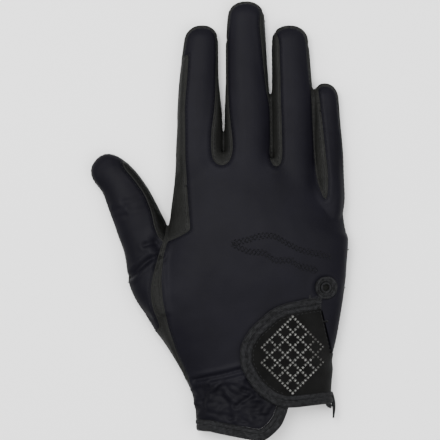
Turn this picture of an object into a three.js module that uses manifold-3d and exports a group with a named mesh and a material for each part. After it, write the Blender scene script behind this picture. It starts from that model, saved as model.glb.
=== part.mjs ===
// A riding glove for the right hand, empty and lying palm down, in millimetres.
// +Z is up, the fingers point along +Y and the thumb points to -X.
// Plan outlines are measured from the middle of the palm (x) and from the lowest point of the cuff (y).
import * as THREE from "three";
import { mergeVertices } from "three/addons/utils/BufferGeometryUtils.js";
import Module from "manifold-3d";

const wasm = await Module();
wasm.setup();

// Sizes of the hand part
const palmWidth = 97;
const palmLength = 157.8;
const palmHeight = 24;
const fingerTipRound = 8;
const thumbLength = 73.6;
const thumbWidth = 25.1;
const thumbHeight = 17;
const thumbTipRound = 12;

// Sizes of the walls, seams and trims
const wall = 1.2;
const gap = 0.3;
const seamHeightAtCuff = 9.5;
const seamHeightAtTips = 8;
const fourchetteFoot = 4;
const thumbSeamAtRoot = 10.5;
const thumbSeamAtTip = 8;
const gatherDepth = 1.2;
const gatherPitch = 4.8;
const bindingWidth = 6.5;
const bindingProud = 0.9;
const keyholeRadius = 2.6;
const strapThickness = 1.8;
const strapEdgeProud = 0.3;
const strapFoot = 5;
const padThickness = 1;
const padInset = 13;

// Sizes of the stones on the strap
const stoneWidth = 1.5;
const stoneHeight = 0.8;
const stonePitch = 1.95;
const trellisCells = 3;
const stonesPerCell = 3;

// Numbers of facets round each tube, and the least volume of a body that is kept after a cut
const palmSides = 24;
const fingerSides = 12;
const thumbSides = 14;
const hollowPalmSides = 16;
const hollowFingerSides = 8;
const crumb = 3;

// Shape of a section: where it is widest as a share of its height, the roundness of its sides, back and foot
const widestShare = 0.44;
const sideRound = 2.5;
const backRound = 2.3;
const footDepth = 1.15;

// Longer than any part of the glove
const far = 400;

const colours = {
  fabric: 0x24222a,
  leather: 0x2d2f2c,
  suede: 0x141413,
  binding: 0x28292b,
};

// The hand: at and fall are shares of palmLength, left and right of palmWidth, high and lift of palmHeight.
const palmTable = [
  { at: -0.05, left: -0.335, right: 0.41, high: 0.9, lift: 0.055, fall: 0 },
  { at: 0.03, left: -0.345, right: 0.408, high: 0.86, lift: 0.055, fall: 0 },
  { at: 0.1, left: -0.36, right: 0.399, high: 0.83, lift: 0.03, fall: 0 },
  { at: 0.164, left: -0.382, right: 0.388, high: 0.84, lift: 0, fall: 0 },
  { at: 0.219, left: -0.421, right: 0.393, high: 0.86, lift: 0, fall: 0 },
  { at: 0.275, left: -0.472, right: 0.404, high: 0.88, lift: 0, fall: 0 },
  { at: 0.33, left: -0.528, right: 0.425, high: 0.91, lift: 0, fall: 0 },
  { at: 0.385, left: -0.59, right: 0.444, high: 0.94, lift: 0, fall: 0 },
  { at: 0.468, left: -0.655, right: 0.466, high: 0.97, lift: 0, fall: 0 },
  { at: 0.551, left: -0.61, right: 0.483, high: 1, lift: 0, fall: 0 },
  { at: 0.634, left: -0.556, right: 0.494, high: 1, lift: 0, fall: 0 },
  { at: 0.717, left: -0.511, right: 0.5, high: 0.98, lift: 0, fall: 0.02 },
  { at: 0.8, left: -0.494, right: 0.489, high: 0.92, lift: 0, fall: 0.08 },
  { at: 0.896, left: -0.475, right: 0.478, high: 0.81, lift: 0, fall: 0.14 },
  { at: 0.96, left: -0.467, right: 0.473, high: 0.71, lift: 0.02, fall: 0.18 },
  { at: 1, left: -0.45, right: 0.46, high: 0.55, lift: 0.14, fall: 0.2 },
];

// The fingers: base is a share of palmLength, middle of palmWidth, wide of width, high of height, at of length.
const fingers = [
  {
    name: "index",
    length: 68.1,
    width: 25.3,
    height: 16,
    base: 1,
    table: [
      { at: -0.4, middle: -0.32, wide: 0.8, high: 1 },
      { at: -0.15, middle: -0.338, wide: 0.98, high: 1.08 },
      { at: 0, middle: -0.336, wide: 1.01, high: 1.06 },
      { at: 0.176, middle: -0.3345, wide: 0.972, high: 1 },
      { at: 0.304, middle: -0.3357, wide: 0.957, high: 0.96 },
      { at: 0.56, middle: -0.3385, wide: 0.849, high: 0.86 },
      { at: 0.752, middle: -0.3315, wide: 0.774, high: 0.79 },
      { at: 1, middle: -0.32, wide: 0.67, high: 0.7 },
    ],
  },
  {
    name: "middle",
    length: 81.2,
    width: 25.6,
    height: 16.5,
    base: 1,
    table: [
      { at: -0.336, middle: -0.062, wide: 0.9, high: 1.1 },
      { at: 0, middle: -0.0629, wide: 0.985, high: 1.06 },
      { at: 0.148, middle: -0.0635, wide: 0.972, high: 1 },
      { at: 0.309, middle: -0.0646, wide: 0.955, high: 0.95 },
      { at: 0.47, middle: -0.0674, wide: 0.894, high: 0.88 },
      { at: 0.685, middle: -0.073, wide: 0.851, high: 0.8 },
      { at: 0.846, middle: -0.073, wide: 0.8, high: 0.74 },
      { at: 1, middle: -0.073, wide: 0.71, high: 0.68 },
    ],
  },
  {
    name: "ring",
    length: 68.1,
    width: 22.3,
    height: 15.5,
    base: 1,
    table: [
      { at: -0.4, middle: 0.2037, wide: 1.08, high: 1.24 },
      { at: 0, middle: 0.1907, wide: 0.998, high: 1.06 },
      { at: 0.432, middle: 0.1876, wide: 0.982, high: 0.95 },
      { at: 0.688, middle: 0.181, wide: 0.935, high: 0.85 },
      { at: 0.816, middle: 0.177, wide: 0.905, high: 0.78 },
      { at: 1, middle: 0.172, wide: 0.82, high: 0.7 },
    ],
  },
  {
    name: "little",
    length: 51.8,
    width: 16.1,
    height: 14,
    base: 0.903,
    table: [
      { at: -0.547, middle: 0.385, wide: 0.8, high: 1.1 },
      { at: -0.25, middle: 0.399, wide: 0.98, high: 1.22 },
      { at: 0, middle: 0.395, wide: 0.99, high: 1.16 },
      { at: 0.274, middle: 0.3918, wide: 0.965, high: 1.04 },
      { at: 0.611, middle: 0.3825, wide: 0.885, high: 0.93 },
      { at: 0.863, middle: 0.376, wide: 0.84, high: 0.84 },
      { at: 1, middle: 0.37, wide: 0.8, high: 0.78 },
    ],
  },
];

// The thumb: its root is placed in shares of the palm, its path is in shares of thumbLength from there.
const thumbRoot = { x: -0.567, y: 0.558 };
const thumbPath = [
  { x: 0.089, y: -0.252 },
  { x: 0, y: 0 },
  { x: -0.074, y: 0.23 },
  { x: -0.114, y: 0.348 },
  { x: -0.221, y: 0.592 },
  { x: -0.312, y: 0.738 },
  { x: -0.47, y: 0.868 },
];
// Along the thumb's path: wide is a share of thumbWidth, high of thumbHeight.
const thumbTable = [
  { at: 0, wide: 0.9, high: 1.2 },
  { at: 0.1, wide: 1.16, high: 1.2 },
  { at: 0.21, wide: 1.26, high: 1.16 },
  { at: 0.3, wide: 1.17, high: 1.1 },
  { at: 0.4, wide: 1.06, high: 1.04 },
  { at: 0.5, wide: 1.065, high: 1.01 },
  { at: 0.6, wide: 1.02, high: 1 },
  { at: 0.7, wide: 0.97, high: 0.95 },
  { at: 0.8, wide: 0.871, high: 0.87 },
  { at: 0.9, wide: 0.79, high: 0.78 },
  { at: 1, wide: 0.81, high: 0.7 },
];
// Folds across the thumb: deep is a share of thumbHeight, at and wide are shares of its path.
const thumbFolds = [
  { at: 0.35, deep: 0.09, wide: 0.022 },
  { at: 0.46, deep: 0.06, wide: 0.018 },
  { at: 0.7, deep: 0.07, wide: 0.02 },
];

// Plan outlines: x is a share of palmWidth, y of palmLength.
const stripSeam = [
  { x: -0.52, y: 1.29 },
  { x: -0.4, y: 1.328 },
  { x: -0.404, y: 1.266 },
  { x: -0.419, y: 1.155 },
  { x: -0.416, y: 0.969 },
  { x: -0.404, y: 0.843 },
  { x: -0.388, y: 0.724 },
  { x: -0.517, y: 0.684 },
  { x: -0.539, y: 0.637 },
  { x: -0.539, y: 0.468 },
  { x: -0.478, y: 0.316 },
  { x: -0.388, y: 0.202 },
  { x: -0.48, y: 0.164 },
];
const fourchetteOutlines = {
  index_middle: [
    { x: -0.265, y: 1.39 },
    { x: -0.262, y: 1.311 },
    { x: -0.264, y: 1.04 },
    { x: -0.25, y: 0.965 },
    { x: -0.208, y: 0.95 },
    { x: -0.17, y: 0.965 },
    { x: -0.153, y: 1.04 },
    { x: -0.169, y: 1.22 },
    { x: -0.169, y: 1.37 },
    { x: -0.19, y: 1.44 },
    { x: -0.235, y: 1.44 },
  ],
  middle_ring: [
    { x: 0.005, y: 1.45 },
    { x: 0.024, y: 1.311 },
    { x: 0.04, y: 1.173 },
    { x: 0.052, y: 1.035 },
    { x: 0.058, y: 0.965 },
    { x: 0.094, y: 0.941 },
    { x: 0.122, y: 0.965 },
    { x: 0.124, y: 1.035 },
    { x: 0.118, y: 1.173 },
    { x: 0.112, y: 1.311 },
    { x: 0.106, y: 1.38 },
    { x: 0.07, y: 1.43 },
    { x: 0.04, y: 1.48 },
  ],
  ring_little: [
    { x: 0.274, y: 1.35 },
    { x: 0.291, y: 1.2 },
    { x: 0.292, y: 0.835 },
    { x: 0.369, y: 0.826 },
    { x: 0.382, y: 0.903 },
    { x: 0.371, y: 0.965 },
    { x: 0.342, y: 1.138 },
    { x: 0.33, y: 1.2 },
    { x: 0.31, y: 1.35 },
  ],
};
// The seam at the root of the thumb: over the top from the crotch to the wrist, and under it in the palm.
const thumbTopSeam = [
  { x: -0.516, y: 0.735 },
  { x: -0.534, y: 0.679 },
  { x: -0.573, y: 0.61 },
  { x: -0.607, y: 0.496 },
  { x: -0.573, y: 0.385 },
  { x: -0.66, y: 0.37 },
];
const thumbUnderSeam = [
  { x: -0.516, y: 0.735 },
  { x: -0.545, y: 0.655 },
  { x: -0.63, y: 0.59 },
  { x: -0.8, y: 0.56 },
];
// The cuff's edge over the back of the hand, up the slit and to the keyhole, and its edge under the palm.
const cuffEdge = [
  { x: -0.6, y: 0.033 },
  { x: -0.3, y: 0.031 },
  { x: -0.258, y: 0.028 },
  { x: -0.055, y: 0.005 },
  { x: 0, y: 0.001 },
  { x: 0.035, y: 0.005 },
  { x: 0.081, y: 0.026 },
  { x: 0.124, y: 0.055 },
  { x: 0.149, y: 0.088 },
  { x: 0.166, y: 0.12 },
  { x: 0.27, y: 0.34 },
  { x: 0.34, y: 0.5 },
];
const palmEdge = [
  { x: -0.6, y: 0.03 },
  { x: -0.3, y: 0.03 },
  { x: -0.05, y: 0.05 },
  { x: 0.16, y: 0.13 },
  { x: 0.42, y: 0.136 },
  { x: 0.6, y: 0.136 },
];
const keyhole = { x: 0.371, y: 0.527 };
// The strap: its outline, drawn past the edge of the hand on its root side, and its root seam.
const strapOutline = [
  { x: 0.331, y: 0.492 },
  { x: 0.233, y: 0.484 },
  { x: 0.135, y: 0.47 },
  { x: 0.063, y: 0.45 },
  { x: 0.006, y: 0.42 },
  { x: -0.045, y: 0.39 },
  { x: -0.084, y: 0.355 },
  { x: -0.107, y: 0.315 },
  { x: -0.103, y: 0.26 },
  { x: -0.078, y: 0.225 },
  { x: -0.045, y: 0.191 },
  { x: 0.034, y: 0.144 },
  { x: 0.08, y: 0.127 },
  { x: 0.14, y: 0.117 },
  { x: 0.393, y: 0.127 },
  { x: 0.56, y: 0.128 },
  { x: 0.56, y: 0.492 },
];
const strapRootSeam = [
  { x: 0.32, y: 0.51 },
  { x: 0.351, y: 0.451 },
  { x: 0.413, y: 0.297 },
  { x: 0.6, y: 0.28 },
];
// How far the pad reaches towards the outer side, the top of the gap beside the thumb, the middle of the stones
const padReach = 0.16;
const thumbGapTop = { x: -0.61, y: 1.02 };
const trellisMiddle = { x: 0.185, y: 0.297 };

// Reads a table between its rows, each column along a smooth curve.
function rowAt(table, at) {
  const last = table.length - 1;
  let i = 0;
  while (i < last - 1 && at > table[i + 1].at) i += 1;
  const span = table[i + 1].at - table[i].at;
  const t = THREE.MathUtils.clamp((at - table[i].at) / span, 0, 1);
  const slope = (k, key) => {
    const a = table[Math.max(k - 1, 0)];
    const b = table[Math.min(k + 1, last)];
    return ((b[key] - a[key]) / (b.at - a.at)) * span;
  };
  const row = {};
  for (const key of Object.keys(table[i])) {
    const rise = table[i + 1][key] - table[i][key];
    const m0 = slope(i, key);
    const m1 = slope(i + 1, key);
    row[key] = table[i][key] + m0 * t + (3 * rise - 2 * m0 - m1) * t * t + (m0 + m1 - 2 * rise) * t ** 3;
  }
  return row;
}

// A plan point in millimetres.
function plan({ x, y }) {
  return new THREE.Vector2(x * palmWidth, y * palmLength);
}

// A section across a tube: a squashed oval with a flat foot, as [across, up] pairs.
function section({ half, low, high, widest, sides, grow, dent = () => 0 }) {
  const power = (v, n) => Math.sign(v) * Math.abs(v) ** (2 / n);
  const pairs = [];
  for (let k = 0; k < sides; k += 1) {
    const turn = (2 * Math.PI * (k + 0.5)) / sides;
    const c = Math.cos(turn);
    const s = Math.sin(turn);
    const inward = Math.max(0.1, half + grow);
    const rise = Math.max(0.1, high - widest + grow);
    const drop = Math.max(0.1, widest - low + grow);
    const across = inward * power(c, sideRound);
    const up = s > 0 ? rise * power(s, backRound) - dent(turn) * s : drop * footDepth * power(s, sideRound);
    pairs.push([across, Math.max(widest + up, widest - drop, 0)]);
  }
  return pairs;
}

// A closed tube through rings of equally many points.
function loft(rings) {
  const sides = rings[0].length;
  const positions = rings.flat().flatMap((p) => [p.x, p.y, p.z]);
  const faces = [];
  for (let r = 0; r + 1 < rings.length; r += 1) {
    for (let k = 0; k < sides; k += 1) {
      const a = r * sides + k;
      const b = r * sides + ((k + 1) % sides);
      faces.push(a, a + sides, b, b, a + sides, b + sides);
    }
  }
  for (const [ring, outward] of [[0, false], [rings.length - 1, true]]) {
    const middle = rings[ring].reduce((sum, p) => sum.add(p), new THREE.Vector3()).divideScalar(sides);
    const hub = positions.length / 3;
    positions.push(middle.x, middle.y, middle.z);
    for (let k = 0; k < sides; k += 1) {
      const a = ring * sides + k;
      const b = ring * sides + ((k + 1) % sides);
      faces.push(...(outward ? [a, hub, b] : [a, b, hub]));
    }
  }
  const geometry = new THREE.BufferGeometry();
  geometry.setAttribute("position", new THREE.Float32BufferAttribute(positions, 3));
  geometry.setIndex(faces);
  return geometry;
}

// A closed geometry as a solid that can be cut and joined.
function solid(geometry) {
  geometry.deleteAttribute("normal");
  geometry.deleteAttribute("uv");
  const merged = mergeVertices(geometry, 1e-4);
  const made = new wasm.Manifold(
    new wasm.Mesh({
      numProp: 3,
      vertProperties: merged.attributes.position.array,
      triVerts: new Uint32Array(merged.index.array),
    }),
  );
  if (made.volume() < 0) throw new Error("a solid is inside out");
  return made;
}

function joined(solids) {
  return solids.reduce((sum, next) => sum.add(next));
}

// A solid without the slivers that a cut along a facet can leave.
function clean(made) {
  return joined(made.decompose().filter((body) => body.volume() > crumb));
}

// An outline pushed out by a distance, or pulled in by a negative one.
function pushed(points, distance) {
  const turn = Math.sign(THREE.ShapeUtils.area(points)) || 1;
  return points.map((point, i) => {
    const before = points[(i + points.length - 1) % points.length];
    const after = points[(i + 1) % points.length];
    const a = point.clone().sub(before).normalize();
    const b = after.clone().sub(point).normalize();
    const normal = new THREE.Vector2(a.y + b.y, -a.x - b.x).normalize();
    const reach = Math.max(0.5, normal.dot(new THREE.Vector2(a.y, -a.x)));
    return point.clone().addScaledVector(normal, (turn * distance) / reach);
  });
}

// An upright block on a plan outline, between two heights that may each depend on y.
function block(points, low, high) {
  const level = (height, y) => (typeof height === "function" ? height(y) : height);
  const geometry = new THREE.ExtrudeGeometry(new THREE.Shape(points), { depth: 1, bevelEnabled: false });
  const position = geometry.attributes.position;
  for (let i = 0; i < position.count; i += 1) {
    const height = position.getZ(i) > 0.5 ? high : low;
    position.setZ(i, level(height, position.getY(i)));
  }
  return solid(geometry);
}

// A line smoothed through its points.
function smooth(line, steps) {
  return new THREE.SplineCurve(line.map(plan)).getPoints(steps);
}

// How far a tip has closed at a share of its rounding, from 0 at the very end to 1.
function tipClosing(share) {
  return (1 - (1 - share) ** 2.2) ** (1 / 2.2);
}
const tipShares = [0.85, 0.45, 0.15, 0.01];

// The hand without fingers, thicker or thinner by grow all round.
const gatherFrom = 0.06;
const gatherTo = 0.235;
const palmPlaces = [-0.05, 0.02, 0.1, 0.17, 0.235, 0.3, 0.37, 0.46, 0.56, 0.67, 0.77, 0.86, 0.93, 0.97, 1];
const hollowPlaces = [-0.05, 0.1, 0.25, 0.37, 0.5, 0.7, 0.86, 0.94, 1];
function palmTube(grow, { gathered = false, places = palmPlaces, sides = palmSides } = {}) {
  const rings = [];
  const used = gathered ? places.filter((at) => at < gatherFrom || at > gatherTo) : [...places];
  if (gathered) {
    const halfPitch = gatherPitch / palmLength / 2;
    for (let at = gatherFrom; at < gatherTo; at += halfPitch) used.push(at);
  }
  used.sort((a, b) => a - b);
  for (const at of used) {
    const row = rowAt(palmTable, at);
    const middle = ((row.left + row.right) / 2) * palmWidth;
    const half = ((row.right - row.left) / 2) * palmWidth;
    const high = row.high * palmHeight;
    const low = Math.max(0, row.lift * palmHeight);
    const fade = THREE.MathUtils.smoothstep(at, gatherFrom, gatherFrom + 0.03)
      * (1 - THREE.MathUtils.smoothstep(at, gatherTo - 0.03, gatherTo));
    const dent = (turn) => {
      if (!gathered) return 0;
      const along = ((at - gatherFrom) * palmLength) / gatherPitch + 0.2 * Math.sin(5 * turn);
      return gatherDepth * fade * (0.5 - 0.5 * Math.cos(2 * Math.PI * along));
    };
    const end = at >= 1 ? grow : 0;
    rings.push(
      section({ half, low, high, widest: widestShare * high, sides, grow, dent }).map(([across, up]) => {
        const x = middle + across;
        const outer = Math.max(0, x / (0.46 * palmWidth));
        const y = (at - row.fall * outer ** 1.5) * palmLength + end;
        return new THREE.Vector3(x, y, up);
      }),
    );
  }
  return solid(loft(rings));
}

const fingerPlaces = [0, 0.3, 0.7];
function fingerTube({ length, width, height, base, table }, grow, sides = fingerSides) {
  const rings = [];
  const round = fingerTipRound / length;
  const starts = table.map((row) => row.at).filter((at) => at < 0);
  const body = [...starts, ...fingerPlaces].filter((at) => at < 0.94 - round);
  const places = [...body, ...tipShares.map((share) => 1 - share * round)];
  for (const at of places) {
    const row = rowAt(table, at);
    const share = (1 - at) / round;
    const closing = share < 1 ? tipClosing(share) : 1;
    const high = row.high * height;
    const widest = widestShare * high;
    const tip = share < 1 ? grow * (1 - share) : 0;
    const y = base * palmLength + at * length + tip;
    const sizes = {
      half: (row.wide * width * closing) / 2,
      low: widest * (1 - closing),
      high: widest + (high - widest) * closing,
      widest,
      sides,
      grow,
    };
    rings.push(section(sizes).map(([across, up]) => new THREE.Vector3(row.middle * palmWidth + across, y, up)));
  }
  return solid(loft(rings));
}

function thumbTube(grow, { sides = thumbSides, folded = true } = {}) {
  const root = plan(thumbRoot);
  const path = new THREE.SplineCurve(
    thumbPath.map(({ x, y }) => new THREE.Vector2(root.x + x * thumbLength, root.y + y * thumbLength)),
  );
  const pathLength = path.getLength();
  const round = thumbTipRound / pathLength;
  const folds = thumbFolds.flatMap(({ at, wide }) => [at - wide, at, at + wide]);
  const places = folded ? [0, 0.12, 0.24, ...folds, 0.58] : [0, 0.12, 0.24, 0.4, 0.6, 0.75];
  const body = places.filter((at) => at < 0.98 - round).sort((a, b) => a - b);
  const rings = [];
  for (const at of [...body, ...tipShares.map((share) => 1 - share * round)]) {
    const row = rowAt(thumbTable, at);
    const share = (1 - at) / round;
    const closing = share < 1 ? tipClosing(share) : 1;
    const high = row.high * thumbHeight;
    const widest = widestShare * high;
    const dent = () => (folded ? thumbFolds : []).reduce(
      (sum, fold) => sum + fold.deep * thumbHeight * Math.exp(-(((at - fold.at) / fold.wide) ** 2) * 2),
      0,
    );
    const sizes = {
      half: (row.wide * thumbWidth * closing) / 2,
      low: widest * (1 - closing),
      high: widest + (high - widest) * closing,
      widest,
      sides,
      grow,
      dent,
    };
    const middle = path.getPointAt(at);
    const along = path.getTangentAt(at);
    const tip = share < 1 ? grow * (1 - share) : 0;
    rings.push(section(sizes).map(([across, up]) => new THREE.Vector3(
      middle.x + across * along.y + tip * along.x,
      middle.y - across * along.x + tip * along.y,
      up,
    )));
  }
  return solid(loft(rings));
}

// The height of the hand's top at a plan point, thicker by grow.
function palmTop(x, y, grow) {
  const row = rowAt(palmTable, y / palmLength);
  const middle = ((row.left + row.right) / 2) * palmWidth;
  const half = ((row.right - row.left) / 2) * palmWidth + grow;
  const high = row.high * palmHeight;
  const share = Math.min(1, Math.abs(x - middle) / half) ** (sideRound / 2);
  return widestShare * high + ((1 - widestShare) * high + grow) * Math.sqrt(1 - share * share) ** (2 / backRound);
}

// The whole glove as one outer form, one hollow and the wall between them.
const outer = joined([palmTube(0, { gathered: true }), ...fingers.map((f) => fingerTube(f, 0)), thumbTube(0)]);
const hollow = joined([
  palmTube(-wall - 0.8 * gatherDepth, { places: hollowPlaces, sides: hollowPalmSides }),
  ...fingers.map((f) => fingerTube(f, -wall, hollowFingerSides)),
  thumbTube(-wall, { sides: hollowFingerSides, folded: false }),
]);
const shell = outer.subtract(hollow);

// Seam blocks, each made a little large for what is cut away and a little small for what is kept.
const half = gap / 2;
const gloveLength = palmLength + fingers[1].length;
const { mapLinear } = THREE.MathUtils;
const backSeamHeight = (y) => mapLinear(y, 0, gloveLength, seamHeightAtCuff, seamHeightAtTips);

const cuffLine = smooth(cuffEdge, 22);
const palmLine = smooth(palmEdge, 10);
const keyholeAt = plan(keyhole);
const keyholeRing = keyholeRadius + bindingWidth / 2;

function circle(middle, radius) {
  const sides = 12;
  return Array.from({ length: sides }, (_, k) => {
    const turn = (2 * Math.PI * k) / sides;
    return new THREE.Vector2(middle.x + radius * Math.cos(turn), middle.y + radius * Math.sin(turn));
  });
}

// A line moved sideways, to its left for a positive distance, without what would fold over in a corner.
function beside(line, distance) {
  const moved = line.map((point, i) => {
    const a = line[Math.max(i - 1, 0)];
    const b = line[Math.min(i + 1, line.length - 1)];
    const along = b.clone().sub(a).normalize();
    return new THREE.Vector2(point.x - along.y * distance, point.y + along.x * distance);
  });
  const least = 0.97 * Math.abs(distance);
  return moved.filter((q) => line.every((p) => q.distanceTo(p) >= least));
}

// What lies past the cuff's edge: the slit over the back of the hand, and all below the wrist.
function pastCuff(distance) {
  const line = beside(cuffLine, distance);
  const rootSide = strapRootSeam.slice(1).map(plan);
  const slit = [...line, keyholeAt, ...rootSide, new THREE.Vector2(far, -far), new THREE.Vector2(-far, -far)];
  return block(slit, backSeamHeight, far);
}
function pastPalmEdge(distance) {
  const line = beside(palmLine, distance);
  return block([...line, new THREE.Vector2(far, -far), new THREE.Vector2(-far, -far)], -far, backSeamHeight);
}

function backBlock(grow) {
  const seam = stripSeam.map(plan);
  const outline = [
    ...seam,
    new THREE.Vector2(-far, -far),
    new THREE.Vector2(far, -far),
    new THREE.Vector2(far, far),
    new THREE.Vector2(seam[0].x, far),
  ];
  return block(pushed(outline, grow), (y) => backSeamHeight(y) - grow, far);
}

function fourchetteBlock(outline, grow) {
  return block(pushed(outline.map(plan), grow), fourchetteFoot - grow, far);
}

// All on the thumb's side of a seam at its root.
function thumbSide(seam) {
  const corners = [new THREE.Vector2(-far, seam[seam.length - 1].y), new THREE.Vector2(-far, far / 2)];
  return [...seam, ...corners, plan(thumbGapTop)];
}

const thumbTipY = thumbRoot.y * palmLength + thumbPath[thumbPath.length - 1].y * thumbLength;
const thumbSeamHeight = (y) => mapLinear(y, thumbRoot.y * palmLength, thumbTipY, thumbSeamAtRoot, thumbSeamAtTip);

function thumbTopBlock(grow) {
  return block(pushed(thumbSide(smooth(thumbTopSeam, 14)), grow), (y) => thumbSeamHeight(y) - grow, far);
}

function thumbUnderBlock(grow) {
  return block(pushed(thumbSide(smooth(thumbUnderSeam, 8)), grow), -far, (y) => thumbSeamHeight(y) + grow);
}

// The bound edge: a band of thicker wall along the cuff's edge, the slit and the keyhole.
const thickWall = palmTube(bindingProud).subtract(palmTube(-wall - bindingProud));
function cuffBand(width) {
  const overFoot = (y) => backSeamHeight(y) - gap;
  const over = block([...cuffLine, ...beside(cuffLine, width).reverse()], overFoot, far);
  const under = block([...palmLine, ...beside(palmLine, width).reverse()], -far, (y) => backSeamHeight(y) + gap);
  const ring = block(circle(keyholeAt, keyholeRing + width - bindingWidth), backSeamHeight, far);
  return joined([over, under, ring]);
}
const keyholeBore = block(circle(keyholeAt, keyholeRadius), backSeamHeight, far);

const fourchettes = Object.entries(fourchetteOutlines);
const fourchetteCuts = joined(fourchettes.map(([, outline]) => fourchetteBlock(outline, half)));
const bandCut = cuffBand(bindingWidth + gap);
const beyond = pastCuff(0).add(pastPalmEdge(0));
const thumbTopCut = thumbTopBlock(half);
const thumbUnderCut = thumbUnderBlock(half);

const backPanel = shell
  .intersect(backBlock(-half))
  .subtract(fourchetteCuts)
  .subtract(bandCut)
  .subtract(beyond)
  .subtract(thumbTopCut);
const palmPanel = shell
  .subtract(backBlock(half))
  .subtract(fourchetteCuts)
  .subtract(bandCut)
  .subtract(beyond)
  .subtract(thumbTopCut)
  .subtract(thumbUnderCut);
const thumbBack = shell.intersect(thumbTopBlock(-half)).subtract(fourchetteCuts);
const thumbFront = shell.intersect(thumbUnderBlock(-half)).subtract(thumbTopCut);
const cuffBinding = thickWall.intersect(cuffBand(bindingWidth)).subtract(beyond).subtract(keyholeBore);

// The strap lies over the back of the hand and round its outer side, on the pad.
const padLow = gap;
const padHigh = padLow + padThickness;
const strapLow = padHigh + gap;
const strapHigh = strapLow + strapThickness;
const strapEdgeHigh = strapHigh + strapEdgeProud;
function layer(low, high) {
  return palmTube(high).subtract(palmTube(low));
}
const strapPoints = strapOutline.map(plan);
const strapRoot = block(
  [
    ...strapRootSeam.map(plan),
    new THREE.Vector2(far, -far),
    new THREE.Vector2(-far, -far),
    new THREE.Vector2(-far, far),
    new THREE.Vector2(strapRootSeam[0].x * palmWidth, far),
  ],
  -far,
  far,
);
const strapArea = (inset) => block(pushed(strapPoints, -inset), strapFoot, far).intersect(strapRoot);
const strapFace = layer(strapLow, strapHigh).intersect(strapArea(bindingWidth + half));
const flapBinding = layer(bindingProud + gap, strapEdgeHigh)
  .intersect(strapArea(0))
  .subtract(strapArea(bindingWidth - half));
const padSide = padReach * palmWidth;
const padLimit = [
  new THREE.Vector2(-far, -far),
  new THREE.Vector2(padSide, -far),
  new THREE.Vector2(padSide, far),
  new THREE.Vector2(-far, far),
];
const padArea = block(pushed(strapPoints, -padInset), seamHeightAtCuff, far).intersect(block(padLimit, 0, far));
const closurePad = layer(padLow, padHigh).intersect(padArea).subtract(cuffBand(bindingWidth + 2 * gap)).subtract(beyond);

// The stones stand on the crossing lines of a slanted trellis.
function stoneSpots() {
  const lines = trellisCells * stonesPerCell;
  const spots = [];
  for (let i = 0; i <= lines; i += 1) {
    for (let j = 0; j <= lines; j += 1) {
      const onLine = i % stonesPerCell === 0 || j % stonesPerCell === 0;
      if (onLine) spots.push([i - lines / 2, j - lines / 2]);
    }
  }
  const middle = plan(trellisMiddle);
  const slant = stonePitch * Math.SQRT1_2;
  return spots.map(([i, j]) => new THREE.Vector2(middle.x + (i - j) * slant, middle.y + (i + j) * slant));
}

// A stone with a table, eight facets and a base sunk in the strap.
function stone(spot) {
  const sunk = 0.5;
  const top = palmTop(spot.x, spot.y, strapHigh);
  const profile = [
    new THREE.Vector2(0, -sunk),
    new THREE.Vector2(stoneWidth / 2, -sunk),
    new THREE.Vector2(stoneWidth * 0.28, stoneHeight),
    new THREE.Vector2(0, stoneHeight),
  ];
  const geometry = new THREE.LatheGeometry(profile, 8);
  geometry.rotateX(Math.PI / 2);
  geometry.translate(spot.x, spot.y, top);
  return solid(geometry);
}
const strapFlap = joined([strapFace, ...stoneSpots().map(stone)]);

// The finished glove, with its origin in the middle of the bottom of its box.
const glove = new THREE.Group();
function add(name, made, colour) {
  const mesh = clean(made).getMesh();
  const geometry = new THREE.BufferGeometry();
  geometry.setAttribute("position", new THREE.BufferAttribute(mesh.vertProperties, 3));
  geometry.setIndex(new THREE.BufferAttribute(mesh.triVerts, 1));
  const flat = geometry.toNonIndexed();
  flat.computeVertexNormals();
  const material = new THREE.MeshStandardMaterial({ color: colour, roughness: 0.7, metalness: 0 });
  const piece = new THREE.Mesh(flat, material);
  piece.name = name;
  glove.add(piece);
}
add("back_panel", backPanel, colours.fabric);
add("palm_panel", palmPanel, colours.leather);
for (const [name, outline] of fourchettes) {
  add(`fourchette_${name}`, shell.intersect(fourchetteBlock(outline, -half)), colours.leather);
}
add("thumb_back", thumbBack, colours.fabric);
add("thumb_front", thumbFront, colours.leather);
add("cuff_binding", cuffBinding, colours.binding);
add("strap_flap", strapFlap, colours.suede);
add("flap_binding", flapBinding, colours.binding);
add("closure_pad", closurePad, colours.suede);

const box = new THREE.Box3().setFromObject(glove);
glove.position.set(-(box.min.x + box.max.x) / 2, -(box.min.y + box.max.y) / 2, -box.min.z);

export default glove;
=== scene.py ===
import math
from collections import defaultdict, namedtuple
from functools import cache

import bmesh
import bpy
import numpy as np
from bpy.props import FloatProperty, FloatVectorProperty, IntProperty, PointerProperty
from mathutils import Matrix, Vector, noise
from mathutils.bvhtree import BVHTree
from mathutils.kdtree import KDTree


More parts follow.
